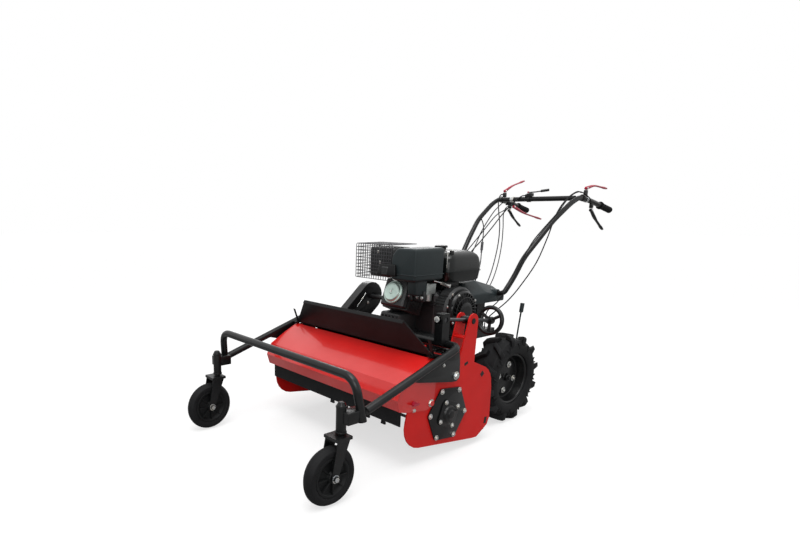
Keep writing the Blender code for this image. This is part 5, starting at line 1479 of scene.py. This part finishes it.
MORE_ROUTES = [
    [(0.2575, 0.862, 1.078), (0.2600, 0.830, 1.092), (0.2800, 0.770, 1.118), (0.2620, 0.690, 1.150),
     (0.2450, 0.613, 1.118), (0.2400, 0.520, 1.040), (0.2400, 0.374, 0.945), (0.2320, 0.313, 0.890),
     (0.2260, 0.258, 0.820), (0.2120, 0.238, 0.760), (0.2020, 0.214, 0.700), (0.1650, 0.150, 0.580),
     (0.1280, 0.110, 0.520), (0.1250, 0.100, 0.455), (0.1250, 0.100, FRAME_CAP)],
    [(-0.2575, 0.862, 1.078), (-0.2600, 0.830, 1.076), (-0.2480, 0.785, 1.060), (-0.2400, 0.758, 1.020),
     (-0.2250, 0.744, 0.935), (-0.2000, 0.703, 0.824), (-0.1750, 0.636, 0.703), (-0.1500, 0.540, 0.600),
     (-0.1250, 0.400, 0.530), (-0.1120, 0.260, 0.470), (-0.1100, 0.200, 0.445), (-0.1100, 0.190, FRAME_CAP)],
    [(-0.2060, 0.802, 1.090), (-0.2050, 0.769, 1.076), (-0.2000, 0.700, 1.052), (-0.1900, 0.596, 1.017),
     (-0.1700, 0.446, 0.925), (-0.1400, 0.291, 0.840), (-0.1200, 0.193, 0.790), (-0.1000, 0.130, 0.740),
     (-0.0950, 0.110, 0.700), (-0.0950, 0.105, 0.640)],
    [(-0.2100, 0.800, 1.096), (-0.2300, 0.739, 1.102), (-0.2300, 0.676, 1.070), (-0.2200, 0.606, 1.030),
     (-0.2000, 0.482, 0.930), (-0.1850, 0.406, 0.842), (-0.1750, 0.346, 0.776), (-0.1500, 0.260, 0.700),
     (-0.1200, 0.200, 0.660), (-0.1000, 0.170, 0.625)],
    [(-0.2340, 0.510, 1.012), (-0.2180, 0.524, 0.950), (-0.2070, 0.507, 0.855), (-0.2000, 0.495, 0.798),
     (-0.1900, 0.479, 0.741), (-0.1750, 0.440, 0.680), (-0.1500, 0.370, 0.610), (-0.1250, 0.300, 0.545),
     (-0.1200, 0.240, 0.480), (-0.1200, 0.215, 0.445), (-0.1200, 0.190, FRAME_CAP)],
]


def sleeve(route, radius):
    return tube(flow([at(*p) for p in route]), radius, 12)


for node, route in ROUTES.items():
    deliver(node + "_sleeve", sleeve(route, CABLE_R), black_rubber, node)
deliver("more_sleeves", [sleeve(route, CABLE_R * 0.92) for route in MORE_ROUTES], black_rubber, body="root")
adjuster = [bar(0.0078, at(-0.2078, 0.5085, 0.862), at(-0.2015, 0.4970, 0.812), 24, 0.0015),
            bar(0.0050, at(-0.2015, 0.4970, 0.814), at(-0.1995, 0.4940, 0.796), 6)]
deliver("cable_adjuster", adjuster, dark_steel, body="root")
print(len(ROUTES), "cables of the CAD and", len(MORE_ROUTES), "more")

# %% [markdown]
# The object is shown on a white floor under plain soft light. The floor is a little brighter for the camera
# than for the mower, so it stays white and still keeps the shadow under the deck.

# %% Floor and light
FLOOR_SIZE = 60.0
FLOOR_GLOW = 0.66
WHITE = (1, 1, 1, 1)


def only_seen(tree, *rays):
    """1 for what the camera sees, directly or by the other kinds of ray that are named, else 0."""
    path = tree.nodes.new("ShaderNodeLightPath")
    seen = path.outputs["Is Camera Ray"]
    for ray in rays:
        either = tree.nodes.new("ShaderNodeMath")
        either.operation = "MAXIMUM"
        tree.links.new(seen, either.inputs[0])
        tree.links.new(path.outputs[ray], either.inputs[1])
        seen = either.outputs[0]
    return seen


def glowing(tree, kind, **values):
    """A node that gives light, with its inputs set."""
    made = tree.nodes.new(kind)
    for socket, value in values.items():
        made.inputs[socket].default_value = value
    return made


def blend(tree, kind, *sources):
    """Mix or add what comes in from the sockets, in their order."""
    made = tree.nodes.new(kind)
    for source, socket in zip(sources, made.inputs):
        tree.links.new(source, socket)
    return made.outputs[0]


def white_floor():
    bm = bmesh.new()
    bmesh.ops.create_grid(bm, x_segments=1, y_segments=1, size=FLOOR_SIZE / 2)
    floor = stand("floor", mesh_from(bm))
    material = bpy.data.materials.new("white_floor")
    material.use_nodes = True
    tree = material.node_tree
    shader = tree.nodes["Principled BSDF"]
    shader.inputs["Base Color"].default_value = (0.40, 0.40, 0.40, 1.0)
    shader.inputs["Roughness"].default_value = 0.9
    shader.inputs["Specular IOR Level"].default_value = 0.1
    glow = glowing(tree, "ShaderNodeEmission", Strength=FLOOR_GLOW)
    nothing = glowing(tree, "ShaderNodeEmission", Strength=0.0)
    seen = blend(tree, "ShaderNodeMixShader", only_seen(tree, "Is Transmission Ray"), nothing.outputs[0],
                 glow.outputs[0])
    both = blend(tree, "ShaderNodeAddShader", shader.outputs[0], seen)
    tree.links.new(both, tree.nodes["Material Output"].inputs["Surface"])
    floor.data.materials.append(material)


def white_room():
    world = bpy.data.worlds.new("white_room")
    bpy.context.scene.world = world
    world.use_nodes = True
    tree = world.node_tree
    lit = tree.nodes["Background"]
    lit.inputs["Color"].default_value = WHITE
    lit.inputs["Strength"].default_value = 0.42
    seen = glowing(tree, "ShaderNodeBackground", Strength=1.0, Color=WHITE)
    choice = blend(tree, "ShaderNodeMixShader", only_seen(tree, "Is Glossy Ray", "Is Transmission Ray"),
                   lit.outputs[0], seen.outputs[0])
    tree.links.new(choice, tree.nodes["World Output"].inputs["Surface"])


def lamp(name, kind, power, way, place=ORIGIN):
    """A light of its own that shines along a direction."""
    light = bpy.data.lights.new(name, kind)
    light.energy = power
    ob = stand(name, light)
    ob.location = place
    ob.rotation_euler = Vector(way).to_track_quat("-Z", "Y").to_euler()
    return light


def soft_box(name, place, target, size, power):
    light = lamp(name, "AREA", power, Vector(target) - Vector(place), place)
    light.shape = "RECTANGLE"
    light.size, light.size_y = size


white_floor()
white_room()
lamp("top_light", "SUN", 1.25, (-0.25, 0.30, -1.0)).angle = math.radians(30)
soft_box("overhead_box", (0.6, -0.6, 3.2), (0.0, -0.2, 0.5), (2.6, 1.6), 26)
soft_box("front_box", (2.6, -3.0, 1.9), (0.0, -0.5, 0.4), (1.6, 1.2), 24)
soft_box("rim_box", (-2.4, 2.2, 2.2), (0.0, 0.0, 0.6), (1.8, 1.0), 22)
print("stage set")

# %% [markdown]
# The camera stands in front of the left castor at the height of the handlebars, with a slightly wide lens.
# Its place was fitted to the photograph, and the shift puts the mower where the photograph has it.

# %% Camera
CAMERA_AT = (1.8037, -2.3095, 1.0342)
CAMERA_TURN = 53.54
CAMERA_DIP = 13.105

camera = bpy.data.cameras.new("camera")
camera.lens = 24.27
camera.sensor_width = 36.0
camera.shift_x = 0.1363
camera.shift_y = 0.0903
eye = stand("camera", camera)
eye.location = CAMERA_AT
eye.rotation_euler = (math.radians(90 - CAMERA_DIP), 0, math.radians(CAMERA_TURN))
bpy.context.scene.camera = eye
bpy.context.scene.view_settings.view_transform = "Standard"
print("camera at", CAMERA_AT)
